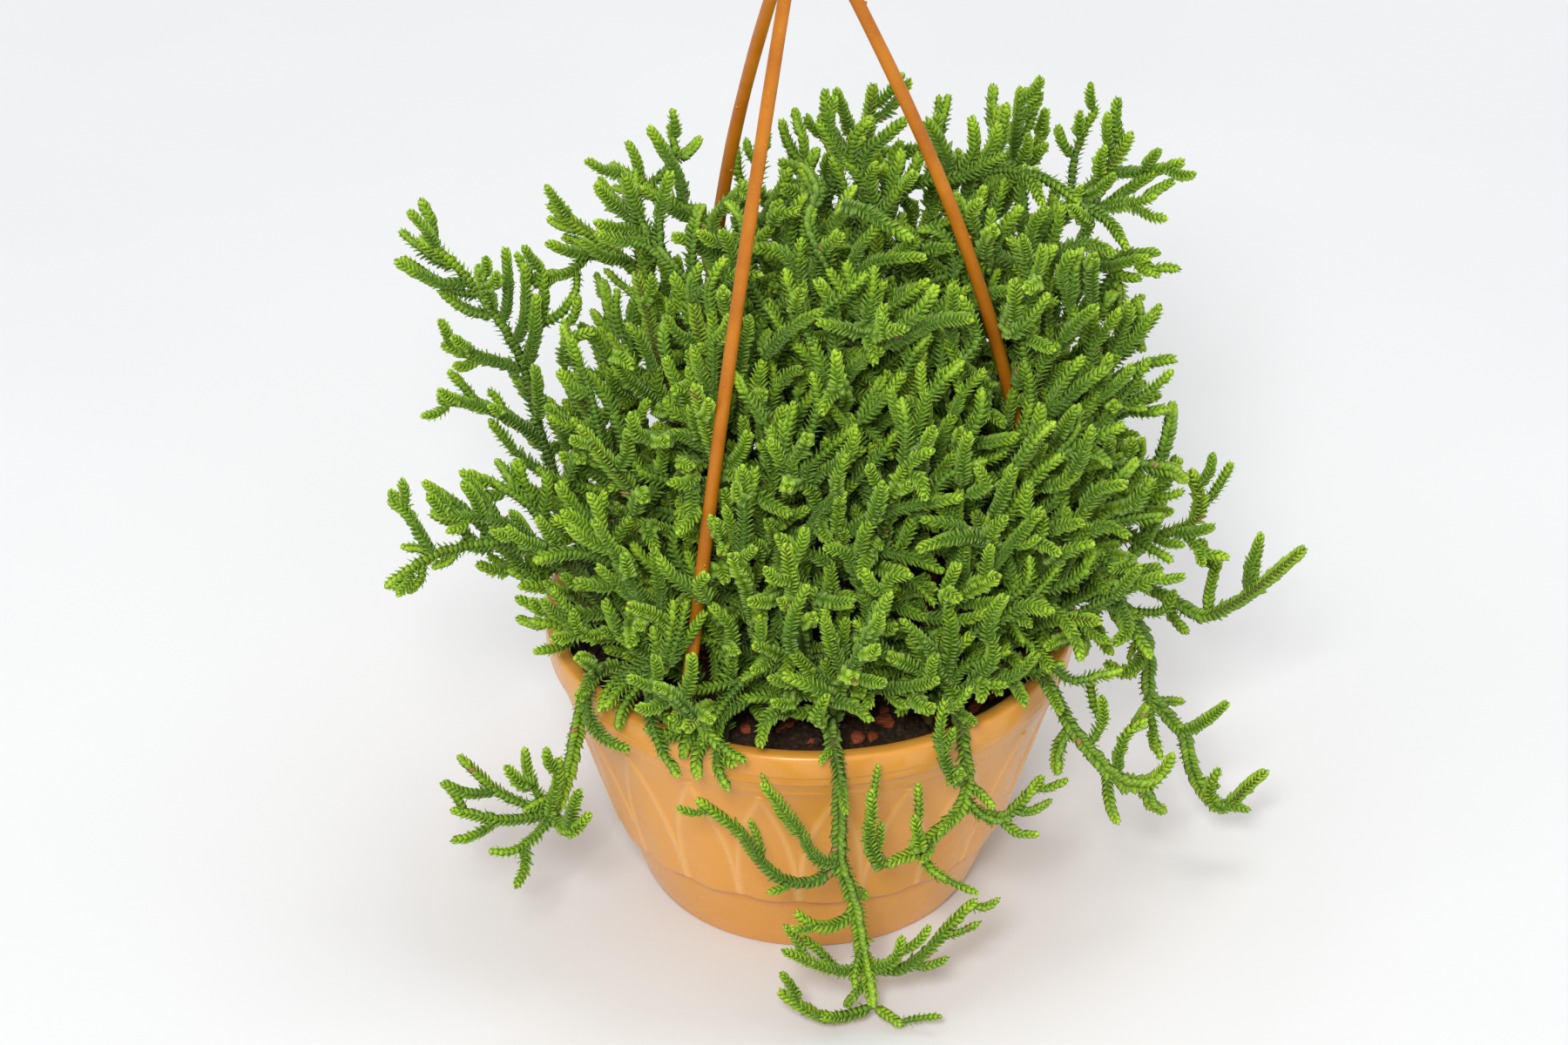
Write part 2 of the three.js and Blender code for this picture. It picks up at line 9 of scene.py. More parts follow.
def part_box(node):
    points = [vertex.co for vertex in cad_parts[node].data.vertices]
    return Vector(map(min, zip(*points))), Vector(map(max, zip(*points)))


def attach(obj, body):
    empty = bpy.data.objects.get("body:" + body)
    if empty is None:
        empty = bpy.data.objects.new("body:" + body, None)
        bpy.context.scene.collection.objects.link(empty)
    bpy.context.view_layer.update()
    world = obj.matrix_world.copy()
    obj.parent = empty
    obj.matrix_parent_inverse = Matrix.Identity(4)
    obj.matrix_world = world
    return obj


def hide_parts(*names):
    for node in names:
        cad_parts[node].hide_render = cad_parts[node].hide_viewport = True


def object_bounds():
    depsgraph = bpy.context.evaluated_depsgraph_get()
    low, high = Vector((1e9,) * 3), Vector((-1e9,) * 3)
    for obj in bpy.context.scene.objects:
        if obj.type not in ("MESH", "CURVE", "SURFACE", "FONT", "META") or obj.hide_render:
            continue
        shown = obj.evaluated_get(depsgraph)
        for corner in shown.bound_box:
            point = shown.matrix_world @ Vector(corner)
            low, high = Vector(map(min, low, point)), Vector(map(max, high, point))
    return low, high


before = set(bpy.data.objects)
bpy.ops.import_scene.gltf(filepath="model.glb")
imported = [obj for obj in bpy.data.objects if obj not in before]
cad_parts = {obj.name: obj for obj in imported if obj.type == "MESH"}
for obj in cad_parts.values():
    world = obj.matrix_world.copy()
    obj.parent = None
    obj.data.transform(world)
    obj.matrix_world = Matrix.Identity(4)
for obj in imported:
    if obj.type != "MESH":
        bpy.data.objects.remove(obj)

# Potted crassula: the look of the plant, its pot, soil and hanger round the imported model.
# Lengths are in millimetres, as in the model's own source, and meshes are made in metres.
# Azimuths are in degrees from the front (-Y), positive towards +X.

MM = 0.001
CAD_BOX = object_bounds()

# ---- Camera, as the photograph was taken: a long lens looking down from the front ----
CAMERA_DISTANCE = 2621
CAMERA_AIM_HEIGHT = 113
CAMERA_ELEVATION = math.radians(34.0)
CAMERA_PITCH = math.radians(33.3)
CAMERA_YAW = math.radians(-0.26)
CAMERA_LENS = 160.0
CAMERA_PLACE = np.array([0, -CAMERA_DISTANCE * math.cos(CAMERA_ELEVATION),
                         CAMERA_AIM_HEIGHT + CAMERA_DISTANCE * math.sin(CAMERA_ELEVATION)])

# ---- Pot ----
POT_HEIGHT = 114
RIM_RADIUS = 100
RIM_BAND = 13
RIM_WIDTH = 6
RIM_STEP = 3.4
FOOT_RADIUS = 62
FOOT_CORNER = 2
WALL = 2.2
WALL_BULGE = 1.6
DRAIN_HOLE_RADIUS = 4
DRAIN_HOLE_COUNT = 6
DRAIN_HOLE_CIRCLE = 38
PETALS = 21
PETAL_TURN = -28.5
PETAL_BASE = 31
PETAL_TOP = 90
PETAL_BULGE = 1.1
PETAL_LEDGE = 1.1
LEDGE_FADE = 22
RIB_HEIGHT = 1.0
RIB_WIDTH = 1.2
BEAD_DROP = 6
BEAD_HEIGHT = 0.35
PETAL_ROUNDING = 2.2
PETAL_FILL = 0.98
SCALLOP = 1.4
LEDGE_SHARPNESS = 2.2
GROOVE_DEPTH = 0.35
GROOVE_WIDTH = 1.3
FLARE = 1.7
FLARE_HEIGHT = 22
POT_COLUMNS = PETALS * 30
PLAIN_ROW = 3.0
PETAL_ROW = 0.7
SHARP_POT_EDGE = 38
# The rim's outline: how far outside the neck and above it, then how far inside the rim's
# outer edge and below its top, then how far outside the inner edge and below the top.
BAND_STEP = [(1.7, -0.6), (2.1, -0.2), (2.3, 0.4), (2.4, 2.6), (2.5, 3.0)]
RIM_OUTLINE = [(0.5, RIM_BAND - 3.5), (0.35, RIM_BAND - 4.2), (0.2, 5.0), (0.1, 2.0), (0.2, 1.1),
               (0.7, 0.35), (1.6, 0.0), (3.4, -0.1)]
RIM_INSIDE = [(1.0, 0.0), (0.3, 0.3), (0.0, 1.0), (-0.2, 5.0), (-0.4, RIM_BAND - 2.0)]

# ---- Soil ----
SOIL_DROP = 14
CLEARANCE = 0.3
CHIP_SIZES = [7, 5, 6, 5.5, 4.5, 6.5]
CHIP_PLACES = [(-73, 35), (-52, 27), (15, 42), (-8, 37), (112, 30), (-118, 34)]
SOIL_RINGS = 56
SOIL_COLUMNS = 144
SOIL_CRUMBS = 1100
BARK_CRUMBS = 230

# ---- Hanger ----
LEG_RADIUS = 2.5
LEGS = {
    "hanger_leg_front_left": (-31, 4),
    "hanger_leg_right": (89, 14),
    "hanger_leg_back": (209, 17),
}
LEG_POINTS = 8
ROD_OVERLAP = 2
HANGER_RISE = 294
HUB_LEAN = np.array([-3.0, -22.0, 0.0])
HUB_RADIUS = 9
HUB_HEIGHT = 17
HUB_TOP_RADIUS = 4
SOCKET_DEPTH = 7
SOCKET_SPREAD = 5.5
HOOK_NECK = 14
HOOK_RADIUS = 15
HOOK_SWEEP = 285
CLIP_WIDTH = 11
CLIP_DEPTH = 4
CLIP_HEIGHT = 19
CLIP_BARB = 2.2
LUG_WIDTH = 18
LUG_DEPTH = 11
LUG_HEIGHT = 5
LUG_DROP = 3.5
ROD_SIDES = 20
SHARP_HANGER_EDGE = 42

# ---- Stems, as the model's source lays them out ----
STEM_RADIUS = 2.6
SHOOT_RADIUS = 2.3
STEM_SPACING = 1.3
SURFACE_GAP = 0.3
ROOT_RISE = 9
SAMPLE_STEP = 3
STEM_TRIES = 81
SHOOT_TRIES = 21
TURN_STEP = 1.5
LIFT_STEP = 0.15
SHRINK_STEP = 0.02
DOME_STEMS = 27
DOME_RADIUS = 126
DOME_RISE = 182
DOME_SPREAD = 80
DOME_SHIFT = 14
DOME_ROOT_MARGIN = 17
DOME_SHOOTS = 3
DOME_SHOOT_LENGTH = 36
DOME_TRIES = 60
DOME_TURN_STEP = 5
DOME_SHRINK_STEP = 0.022
DOME_VEER = 24
DOME_ARCH = 0.16
DOME_SHOOT_FIRST = 0.5
DOME_SHOOT_SPACING = 0.17
DOME_SHOOT_JITTER = 0.1
DOME_SHOOT_TRIES = 12
DOME_SHOOT_SHRINK_STEP = 0.03
SHOOT_BEND = (0.3, 0.34, 0.03)
SHOOT_TIP = (0.75, 0.6, 0.14)
GOLDEN_ANGLE = 137.508

# ---- Values that follow from them ----
SOIL_LEVEL = POT_HEIGHT - SOIL_DROP
NECK_HEIGHT = POT_HEIGHT - RIM_BAND
NECK_RADIUS = RIM_RADIUS - RIM_STEP
INNER_RIM = RIM_RADIUS - RIM_WIDTH
LUG_TOP = POT_HEIGHT - LUG_DROP
SEAT_RADIUS = INNER_RIM - LUG_DEPTH / 2
CLIP_BOTTOM = LUG_TOP - LUG_HEIGHT - CLEARANCE - CLIP_BARB
HUB_BASE = POT_HEIGHT + HANGER_RISE


# ---- Places and paths ----

def around(azimuth, radius, height):
    """A point from its azimuth, its distance from the pot's axis and its height."""
    angle = math.radians(azimuth)
    return np.array([radius * math.sin(angle), -radius * math.cos(angle), height])


def path_points(points, shares):
    """Points at these shares of a smooth path through the given points."""
    points = np.asarray(points, float)
    first = 2 * points[0] - points[1]
    last = 2 * points[-1] - points[-2]
    ends = np.vstack([first, points, last])
    at = np.clip(np.asarray(shares, float) * (len(points) - 1), 0, len(points) - 1)
    i = np.minimum(np.floor(at).astype(int), len(points) - 2)
    w = (at - i)[:, None]
    before, here, there, after = ends[i], ends[i + 1], ends[i + 2], ends[i + 3]
    leave = 0.5 * (there - before)
    arrive = 0.5 * (after - here)
    square = -3 * here + 3 * there - 2 * leave - arrive
    cube = 2 * here - 2 * there + leave + arrive
    return here + leave * w + square * w ** 2 + cube * w ** 3


def path_point(points, share):
    return path_points(points, [share])[0]


def sampled(points):
    steps = np.linalg.norm(np.diff(np.asarray(points), axis=0), axis=1)
    count = math.ceil(steps.sum() / SAMPLE_STEP)
    return path_points(points, np.arange(count + 1) / count)


def unit(v):
    return v / np.linalg.norm(v)


def wall_radius(height):
    """Outer radius of the pot's wall at a height, from the foot up to the rim band."""
    share = min(max(height / NECK_HEIGHT, 0), 1)
    straight = FOOT_RADIUS + (NECK_RADIUS - FOOT_RADIUS) * share
    return straight + WALL_BULGE * math.sin(math.pi * share)


SOIL_RADIUS = wall_radius(SOIL_LEVEL) - WALL - CLEARANCE


def leg_route(azimuth, bow):
    """The middle line of a leg: from its clip, bowed outwards, up into the leaning hub."""
    low = around(azimuth, SEAT_RADIUS, CLIP_BOTTOM + CLIP_HEIGHT - ROD_OVERLAP)
    high = around(azimuth, SOCKET_SPREAD, HUB_BASE + SOCKET_DEPTH) + HUB_LEAN
    route = []
    for i in range(LEG_POINTS + 1):
        share = i / LEG_POINTS
        outwards = around(azimuth, bow * math.sin(math.pi * share), 0)
        route.append(low + (high - low) * share + outwards)
    return route


# ---- The stems' middle lines ----

# Named stems: root, main route, side shoots. A point is (azimuth, distance outside the rim,
# height above the rim). A side shoot starts at the point of the main route that it numbers.
NAMED_STEMS = {
    "stem_front_trail": (
        (5, -24),
        [(5, -10, 4), (5, 1, 4.6), (6, 7, -8), (6, 8, -41), (9, 10, -62), (11, 12, -88),
         (12, 14, -104)],
        [(3, [(0, 8, -50), (-8, 8, -46), (-14, 8, -28), (-23, 8, -18)]),
         (3, [(2, 13, -36), (-4, 12, -18), (-9, 12, -3)]),
         (4, [(3, 14, -66), (-3, 12, -60)]),
         (5, [(4, 16, -84), (-5, 20, -72)]),
         (6, [(4, 15, -108), (-6, 13, -96)]),
         (5, [(15, 18, -82), (17, 18, -70)]),
         (5, [(18, 14, -88), (26, 16, -74), (33, 14, -66)]),
         (6, [(17, 20, -111)])],
    ),
    "stem_front_right_trail": (
        (38, -28),
        [(36, -12, 7), (33, 1, 5.2), (32, 8, -8), (31, 10, -22), (26, 9, -33), (21, 9, -39),
         (14.5, 11, -42)],
        [(3, [(37, 13, -34), (43, 13, -32), (50, 13, -26)]),
         (2, [(27, 16, -6), (24, 16, 12), (26, 12, 28)]),
         (5, [(20, 17, -30), (19, 16, -18)]),
         (5, [(23, 14, -46), (27, 14, -54)]),
         (6, [(11, 17, -30), (11, 16, -4)])],
    ),
    "stem_left_spray": (
        (-58, -26),
        [(-57, -10, 5), (-54, 1, 4.8), (-53, 8, -14), (-54, 12, -36), (-55, 16, -49)],
        [(4, [(-62, 30, -44), (-70, 40, -35)]),
         (4, [(-60, 33, -52), (-65, 48, -50)]),
         (4, [(-54, 33, -56), (-56, 44, -56)]),
         (4, [(-58, 22, -36), (-60, 22, -22)]),
         (4, [(-52, 20, -38), (-53, 16, -20)]),
         (4, [(-47, 22, -46), (-43, 18, -34)])],
    ),
    "stem_right_trail": (
        (82, -26),
        [(84, -12, 10), (87, 6, 12), (89, 18, 2), (90, 27, -17), (90, 28, -37), (90, 41, -55),
         (90, 47, -76), (89, 58, -88), (89, 74, -70)],
        [(3, [(83, 20, -18), (80, 12, -10)]),
         (4, [(85, 30, -44), (82, 34, -56)]),
         (5, [(87, 50, -44), (85, 58, -32)]),
         (7, [(86, 52, -76), (86, 56, -64)])],
    ),
    "stem_right_low": (
        (60, -24),
        [(59, -10, 6), (57, 3, 5), (56, 13, -6), (59, 20, -22), (64, 27, -39), (71, 36, -50),
         (74, 42, -40)],
        [(3, [(61, 24, -12), (60, 24, 2)]),
         (4, [(66, 28, -24), (70, 34, -20)])],
    ),
    "stem_far_right": (
        (104, -24),
        [(103, -10, 9), (101, 4, 9), (100, 20, 0), (98, 37, -9), (98, 52, -18), (97, 69, -7),
         (96, 88, 14)],
        [(4, [(101, 56, -8), (101, 58, 2)]),
         (5, [(100, 72, 4), (101, 74, 12)])],
    ),
    "stem_right_fork": (
        (94, -40),
        [(95, -20, 18), (97, 4, 22), (98, 26, 20), (98, 42, 22), (97, 47, 34), (97, 43, 50)],
        [(3, [(93, 48, 20), (92, 58, 18)]),
         (2, [(103, 34, 30), (104, 38, 40)])],
    ),
    "stem_tall_right": (
        (128, -46),
        [(127, -38, 33), (126, -15, 75), (125, 1, 112), (122, 13, 138), (118, 24, 155),
         (116, 32, 172)],
        [(2, [(133, 6, 146), (134, 6, 164), (134, 8, 182)]),
         (3, [(126, 22, 158), (125, 30, 174)]),
         (4, [(112, 36, 160), (109, 46, 166)]),
         (3, [(112, 22, 148), (107, 33, 156)])],
    ),
    "stem_right_upper": (
        (86, -52),
        [(92, -34, 40), (98, -24, 72), (106, -10, 108), (107, 4, 132), (105, 15, 134),
         (104, 17, 116), (104, 18, 100)],
        [(4, [(102, 22, 138), (99, 30, 132)]),
         (2, [(96, -2, 116), (94, 6, 124)])],
    ),
    "stem_top_right": (
        (152, -58),
        [(148, -36, 40), (144, -22, 69), (144, 5, 105), (146, 18, 130), (146, 28, 156)],
        [(2, [(152, 2, 132), (154, 8, 158)]),
         (3, [(139, 22, 140), (137, 30, 154)])],
    ),
    "stem_top_centre": (
        (178, -56),
        [(176, -44, 40), (172, -30, 72), (169, -6, 109), (168, 0, 141), (167, 3, 169)],
        [(2, [(180, -12, 128), (182, -6, 152)]),
         (3, [(175, 4, 134), (177, 6, 150)])],
    ),
    "stem_top_left_high": (
        (-170, -62),
        [(-168, -48, 44), (-166, -30, 78), (-160, -14, 108), (-153, 0, 120), (-147, 14, 126),
         (-143, 27, 133)],
        [(2, [(-168, -4, 128), (-169, 0, 146)]),
         (4, [(-154, 18, 132), (-155, 28, 142)])],
    ),
    "stem_top_left": (
        (-140, -60),
        [(-142, -44, 48), (-140, -30, 82), (-135, -10, 106), (-131, 6, 118), (-127, 24, 132)],
        [(2, [(-139, 0, 124), (-138, 2, 138)]),
         (3, [(-124, 8, 110), (-119, 14, 112)])],
    ),
    "stem_left_tall": (
        (-84, -30),
        [(-88, -12, 36), (-95, 0, 68), (-100, 8, 92), (-104, 22, 112), (-105, 37, 128),
         (-106, 52, 136)],
        [(3, [(-100, 22, 128), (-99, 24, 138)]),
         (2, [(-95, 25, 104), (-92, 36, 112)]),
         (1, [(-89, 18, 88), (-86, 38, 98)]),
         (2, [(-108, 4, 114), (-111, 8, 128)])],
    ),
    "stem_left_arm": (
        (-76, -36),
        [(-78, -16, 22), (-81, 0, 44), (-83, 20, 53), (-84, 46, 52), (-83, 66, 44)],
        [(1, [(-77, 24, 68), (-75, 48, 78)]),
         (1, [(-87, 10, 60), (-91, 28, 68)]),
         (3, [(-86, 54, 66), (-86, 62, 74)])],
    ),
    "stem_left_low": (
        (-66, -44),
        [(-68, -24, 10), (-71, -6, 17), (-75, 14, 24)],
        [(1, [(-64, 2, 28), (-62, 6, 40)])],
    ),
    "stem_front_crown": (
        (0, -58),
        [(-1, -42, 18), (-2, -22, 44), (-4, -8, 70), (-5, -2, 92)],
        [(0, [(-8, -22, 30), (-12, -4, 46)]),
         (0, [(10, -22, 34), (15, -6, 56), (16, 0, 76)]),
         (0, [(12, -20, 18), (20, -2, 26), (24, 14, 38)])],
    ),
}


class Room:
    """The middle lines placed so far, each point with its radius and its owner."""

    def __init__(self):
        self.points = np.zeros((0, 3))
        self.radii = np.zeros(0)
        self.owners = np.zeros(0, dtype=object)

    def keep(self, owner, points, radius):
        line = sampled(points)
        self.points = np.vstack([self.points, line])
        self.radii = np.concatenate([self.radii, np.full(len(line), float(radius))])
        self.owners = np.concatenate([self.owners, np.full(len(line), owner, dtype=object)])

    def is_clear(self, owner, points, radius, spacing=STEM_SPACING):
        line = sampled(points)
        if not all(misses_pot(point, radius) for point in line):
            return False
        others = self.owners != owner
        apart = line[:, None, :] - self.points[others][None, :, :]
        room = radius + self.radii[others] + spacing
        return not (np.linalg.norm(apart, axis=2) < room[None, :]).any()


def misses_pot(point, radius):
    """True where a shoot of this radius misses the pot, the soil and the surface."""
    away = radius + SURFACE_GAP / 2
    reach = math.hypot(point[0], point[1])
    if point[2] > POT_HEIGHT + away:
        return True
    if reach < INNER_RIM - away and point[2] > SOIL_LEVEL:
        return True
    outside = RIM_RADIUS if point[2] > NECK_HEIGHT - away else wall_radius(point[2] + away)
    return reach > outside + away and point[2] > radius


def from_rim(azimuth, outside, rise):
    """A point given from the rim, kept above the surface that the pot stands on."""
    lowest = STEM_RADIUS + SURFACE_GAP
    return around(azimuth, RIM_RADIUS + outside, max(POT_HEIGHT + rise, lowest))


def spread(stem, use):
    """A number from 0 to 1, spread evenly over the stems and different for each use."""
    return (0.618034 * stem + 0.754878 * use) % 1.0


def rooted(azimuth, radius):
    foot = around(azimuth, radius, SOIL_LEVEL + CLEARANCE)
    return [foot, foot + [0, 0, ROOT_RISE]]


def first_clear(room, owner, radius, versions, make_route):
    for version in range(versions):
        route = make_route(version)
        if room.is_clear(owner, route, radius):
            return route
    return None


def swing(version):
    """0, +1, -1, +2, -2 and so on."""
    return math.ceil(version / 2) * (1 if version % 2 else -1)


def place_named_stem(room, name, root, nominal_route, side_shoots):
    def main(version):
        turn = swing(version) * TURN_STEP
        lift = version * LIFT_STEP
        points = [from_rim(a + turn, out, rise + lift) for a, out, rise in nominal_route]
        return rooted(root[0] + turn, RIM_RADIUS + root[1]) + points

    route = first_clear(room, name, STEM_RADIUS, STEM_TRIES, main)
    room.keep(name, route, STEM_RADIUS)
    shoots = []
    for at, side_route in side_shoots:
        start = route[at + 2]
        nominal = from_rim(*nominal_route[at])

        def side(version):
            turn = swing(version) * TURN_STEP
            shorter = 1 - SHRINK_STEP * version
            tips = [from_rim(a + turn, out, rise) for a, out, rise in side_route]
            return [start] + [(tip - nominal) * shorter + start for tip in tips]

        shoot = first_clear(room, name, SHOOT_RADIUS, SHOOT_TRIES, side)
        if shoot is not None:
            room.keep(name, shoot, SHOOT_RADIUS)
            shoots.append(shoot)
    return route, shoots


def dome_route(index, version):
    """One stem of the dome: from its root, up and then out to the dome's surface."""
    share = math.sqrt((index + 0.5) / DOME_STEMS)
    azimuth = index * GOLDEN_ANGLE + swing(version) * DOME_TURN_STEP
    lean = math.radians(DOME_SPREAD * share * (0.9 + 0.2 * spread(index, 1)))
    size = (0.88 + 0.16 * spread(index, 2)) * (1 - DOME_SHRINK_STEP * (version % 40))
    foot = rooted(azimuth, (SOIL_RADIUS - DOME_ROOT_MARGIN) * share)
    veer = azimuth + DOME_VEER * (spread(index, 3) - 0.5)
    height = POT_HEIGHT + size * DOME_RISE * math.cos(lean)
    tip = around(veer, size * DOME_RADIUS * math.sin(lean), height)
    tip[0] += DOME_SHIFT * share
    middle = foot[1] + (tip - foot[1]) * 0.5
    middle[2] += DOME_ARCH * np.linalg.norm(tip - foot[1]) * math.sin(lean)
    return foot + [middle, tip]


def side_shoot(route, share, turn, length):
    """A side shoot that leaves a route at a share of its length, outwards and upwards."""
    start = path_point(route, share)
    along = unit(path_point(route, share + 0.02) - path_point(route, share - 0.02))
    level = unit(np.array([along[1], -along[0], 0.001]))
    rise = unit(np.cross(level, along))
    angle = math.radians(turn)
    out = level * math.cos(angle) + rise * math.sin(angle)
    points = [start]
    for share_along, share_out, share_up in (SHOOT_BEND, SHOOT_TIP):
        point = start + along * share_along * length + out * share_out * length
        point[2] += share_up * length
        points.append(point)
    return points


def place_dome_stem(room, index):
    name = f"stem_dome_{index + 1:02d}"
    route = first_clear(room, name, STEM_RADIUS, DOME_TRIES, lambda v: dome_route(index, v))
    room.keep(name, route, STEM_RADIUS)
    shoots = []
    for i in range(DOME_SHOOTS):
        jitter = DOME_SHOOT_JITTER * (spread(index, 4 + i) - 0.5)
        share = DOME_SHOOT_FIRST + DOME_SHOOT_SPACING * i + jitter
        length = DOME_SHOOT_LENGTH * (0.8 + 0.4 * spread(index, 7 + i))

        def side(version):
            turn = (index + DOME_SHOOTS * i + version) * GOLDEN_ANGLE
            return side_shoot(route, share, turn, length * (1 - DOME_SHOOT_SHRINK_STEP * version))

        shoot = first_clear(room, name, SHOOT_RADIUS, DOME_SHOOT_TRIES, side)
        if shoot is not None:
            room.keep(name, shoot, SHOOT_RADIUS)
            shoots.append(shoot)
    return name, route, shoots


def lay_out_stems():
    """Every stem's main route and side shoots, as the model's source places them."""
    room = Room()
    for name, (azimuth, bow) in LEGS.items():
        route = leg_route(azimuth, bow)
        room.keep(name, route, LEG_RADIUS)
        room.keep(name, [around(azimuth, SEAT_RADIUS, CLIP_BOTTOM), route[0]], CLIP_WIDTH / 2)
    for i, (azimuth, inset) in enumerate(CHIP_PLACES):
        place = around(azimuth, SOIL_RADIUS - inset, SOIL_LEVEL)
        above = np.array([place[0], place[1], SOIL_LEVEL + CHIP_SIZES[i]])
        room.keep(f"bark_chip_{i + 1}", [place, above], CHIP_SIZES[i])
    stems = {}
    for name, (root, route, shoots) in NAMED_STEMS.items():
        stems[name] = place_named_stem(room, name, root, route, shoots)
    for index in range(DOME_STEMS):
        name, route, shoots = place_dome_stem(room, index)
        stems[name] = (route, shoots)
    return room, stems


# ---- Meshes and materials ----

def linear(red, green, blue):
    """A colour from its 0 to 255 values, as the shader wants it."""
    def one(value):
        value /= 255
        return value / 12.92 if value <= 0.04045 else ((value + 0.055) / 1.055) ** 2.4
    return (one(red), one(green), one(blue), 1.0)


def in_scene(name, data):
    """A new object of this data, linked into the scene."""
    made = bpy.data.objects.new(name, data)
    bpy.context.scene.collection.objects.link(made)
    return made


def new_mesh_object(name, vertices, faces):
    """An object from vertices in millimetres and an array of faces with equal corner counts."""
    faces = np.asarray(faces, np.int32)
    mesh = bpy.data.meshes.new(name)
    mesh.vertices.add(len(vertices))
    mesh.vertices.foreach_set("co", (np.asarray(vertices) * MM).astype(np.float32).ravel())
    mesh.loops.add(faces.size)
    mesh.loops.foreach_set("vertex_index", faces.ravel())
    mesh.polygons.add(len(faces))
    starts = np.arange(len(faces), dtype=np.int32) * faces.shape[1]
    mesh.polygons.foreach_set("loop_start", starts)
    mesh.polygons.foreach_set("use_smooth", np.full(len(faces), True))
    mesh.update(calc_edges=True)
    return in_scene(name, mesh)


def add_solids(made, add, sharp_edge):
    """Lets add build more of an object's mesh, and keeps its edges past an angle sharp."""
    bm = bmesh.new()
    bm.from_mesh(made.data)
    add(bm)
    for face in bm.faces:
        face.smooth = True
    bm.to_mesh(made.data)
    bm.free()
    made.data.set_sharp_from_angle(angle=math.radians(sharp_edge))


class Paint:
    """A node material under construction. Its colours are given as 0 to 255 values."""

    def __init__(self, name, roughness, specular=0.5):
        self.material = bpy.data.materials.new(name)
        self.material.use_nodes = True
        self.shader = self.material.node_tree.nodes["Principled BSDF"]
        self.give(self.shader, {"Roughness": roughness, "Specular IOR Level": specular})
        self.place = self.node("TexCoord", {}).outputs["Object"]

    def give(self, node, inputs):
        """Sets each input, by its name or number, to a value or joins it to an output."""
        for name, value in inputs.items():
            if isinstance(value, bpy.types.NodeSocket):
                self.material.node_tree.links.new(value, node.inputs[name])
            else:
                node.inputs[name].default_value = value

    def node(self, kind, inputs, **settings):
        made = self.material.node_tree.nodes.new("ShaderNode" + kind)
        for name, value in settings.items():
            setattr(made, name, value)
        self.give(made, inputs)
        return made

    def noise(self, scale, detail=4.0, roughness=0.55, vector=None):
        """A noise value from 0 to 1. The scale is in waves per metre."""
        return self.node("TexNoise", {"Scale": scale, "Detail": detail, "Roughness": roughness,
                                      "Vector": vector or self.place}).outputs["Fac"]

    def stretched(self, scale):
        """The place on the object, stretched along its axes."""
        return self.node("Mapping", {"Scale": scale, "Vector": self.place}).outputs["Vector"]

    def attribute(self, name):
        """A value that the mesh keeps at its corners."""
        return self.node("Attribute", {}, attribute_name=name).outputs["Fac"]

    def ramp(self, value, stops):
        made = self.node("ValToRGB", {"Fac": value})
        elements = made.color_ramp.elements
        while len(elements) < len(stops):
            elements.new(0.5)
        for element, (position, colour) in zip(elements, stops):
            element.position = position
            element.color = linear(*colour)
        return made.outputs["Color"]

    def span(self, value, low, high, to_low=0.0, to_high=1.0):
        """The value, from its low to high, taken to another span and held inside it."""
        return self.node("MapRange", {"Value": value, "From Min": low, "From Max": high,
                                      "To Min": to_low, "To Max": to_high}).outputs["Result"]

    def mix(self, factor, first, second):
        """The second colour over the first, by the factor."""
        if isinstance(second, tuple):
            second = linear(*second)
        return self.node("Mix", {0: factor, 6: first, 7: second}, data_type="RGBA").outputs[2]

    def maths(self, operation, first, second=0.0):
        return self.node("Math", {0: first, 1: second}, operation=operation).outputs["Value"]

    def finish(self, colour, rough=None, height=None, distance=0.0, strength=1.0):
        """The material. Its bumps raise the surface by the height value times a distance in
        millimetres."""
        self.give(self.shader, {"Base Color": colour})
        if rough is not None:
            self.give(self.shader, {"Roughness": rough})
        if height is not None:
            bump = self.node("Bump", {"Strength": strength, "Distance": distance * MM,
                                      "Height": height})
            self.give(self.shader, {"Normal": bump.outputs["Normal"]})
        return self.material


def pot_paint():
    paint = Paint("pot_plastic_paint", 0.25)
    base = paint.ramp(paint.noise(24, 3), [(0.3, (209, 141, 51)), (0.7, (217, 151, 63))])
    # Painted highlight along the petals' raised ribs, and painted shade in the groove under the
    # petals.
    base = paint.mix(paint.span(paint.attribute("rib"), 0, 1, 0, 0.4), base, (240, 192, 128))
    base = paint.mix(paint.span(paint.attribute("groove"), 0, 1, 0, 0.5), base, (190, 100, 20))
    base = paint.mix(paint.span(paint.noise(1400, 2), 0.5, 0.8, 0, 0.1), base, (226, 172, 104))
    dust = paint.span(paint.noise(330, 5, 0.7), 0.66, 0.8, 0, 0.3)
    base = paint.mix(dust, base, (238, 206, 164))
    rough = paint.span(paint.noise(60, 4), 0.3, 0.75, 0.2, 0.32)
    return paint.finish(base, rough, paint.noise(180, 2), 0.06, 0.25)


def hanger_paint():
    paint = Paint("hanger_plastic_paint", 0.42, 0.32)
    base = paint.ramp(paint.noise(60, 3), [(0.3, (164, 92, 6)), (0.7, (184, 112, 16))])
    base = paint.mix(paint.span(paint.noise(1100, 2), 0.6, 0.75, 0, 0.3), base, (222, 160, 90))
    rough = paint.span(paint.noise(300, 3), 0.3, 0.7, 0.3, 0.5)
    return paint.finish(base, rough, paint.noise(500, 4), 0.2, 0.4)


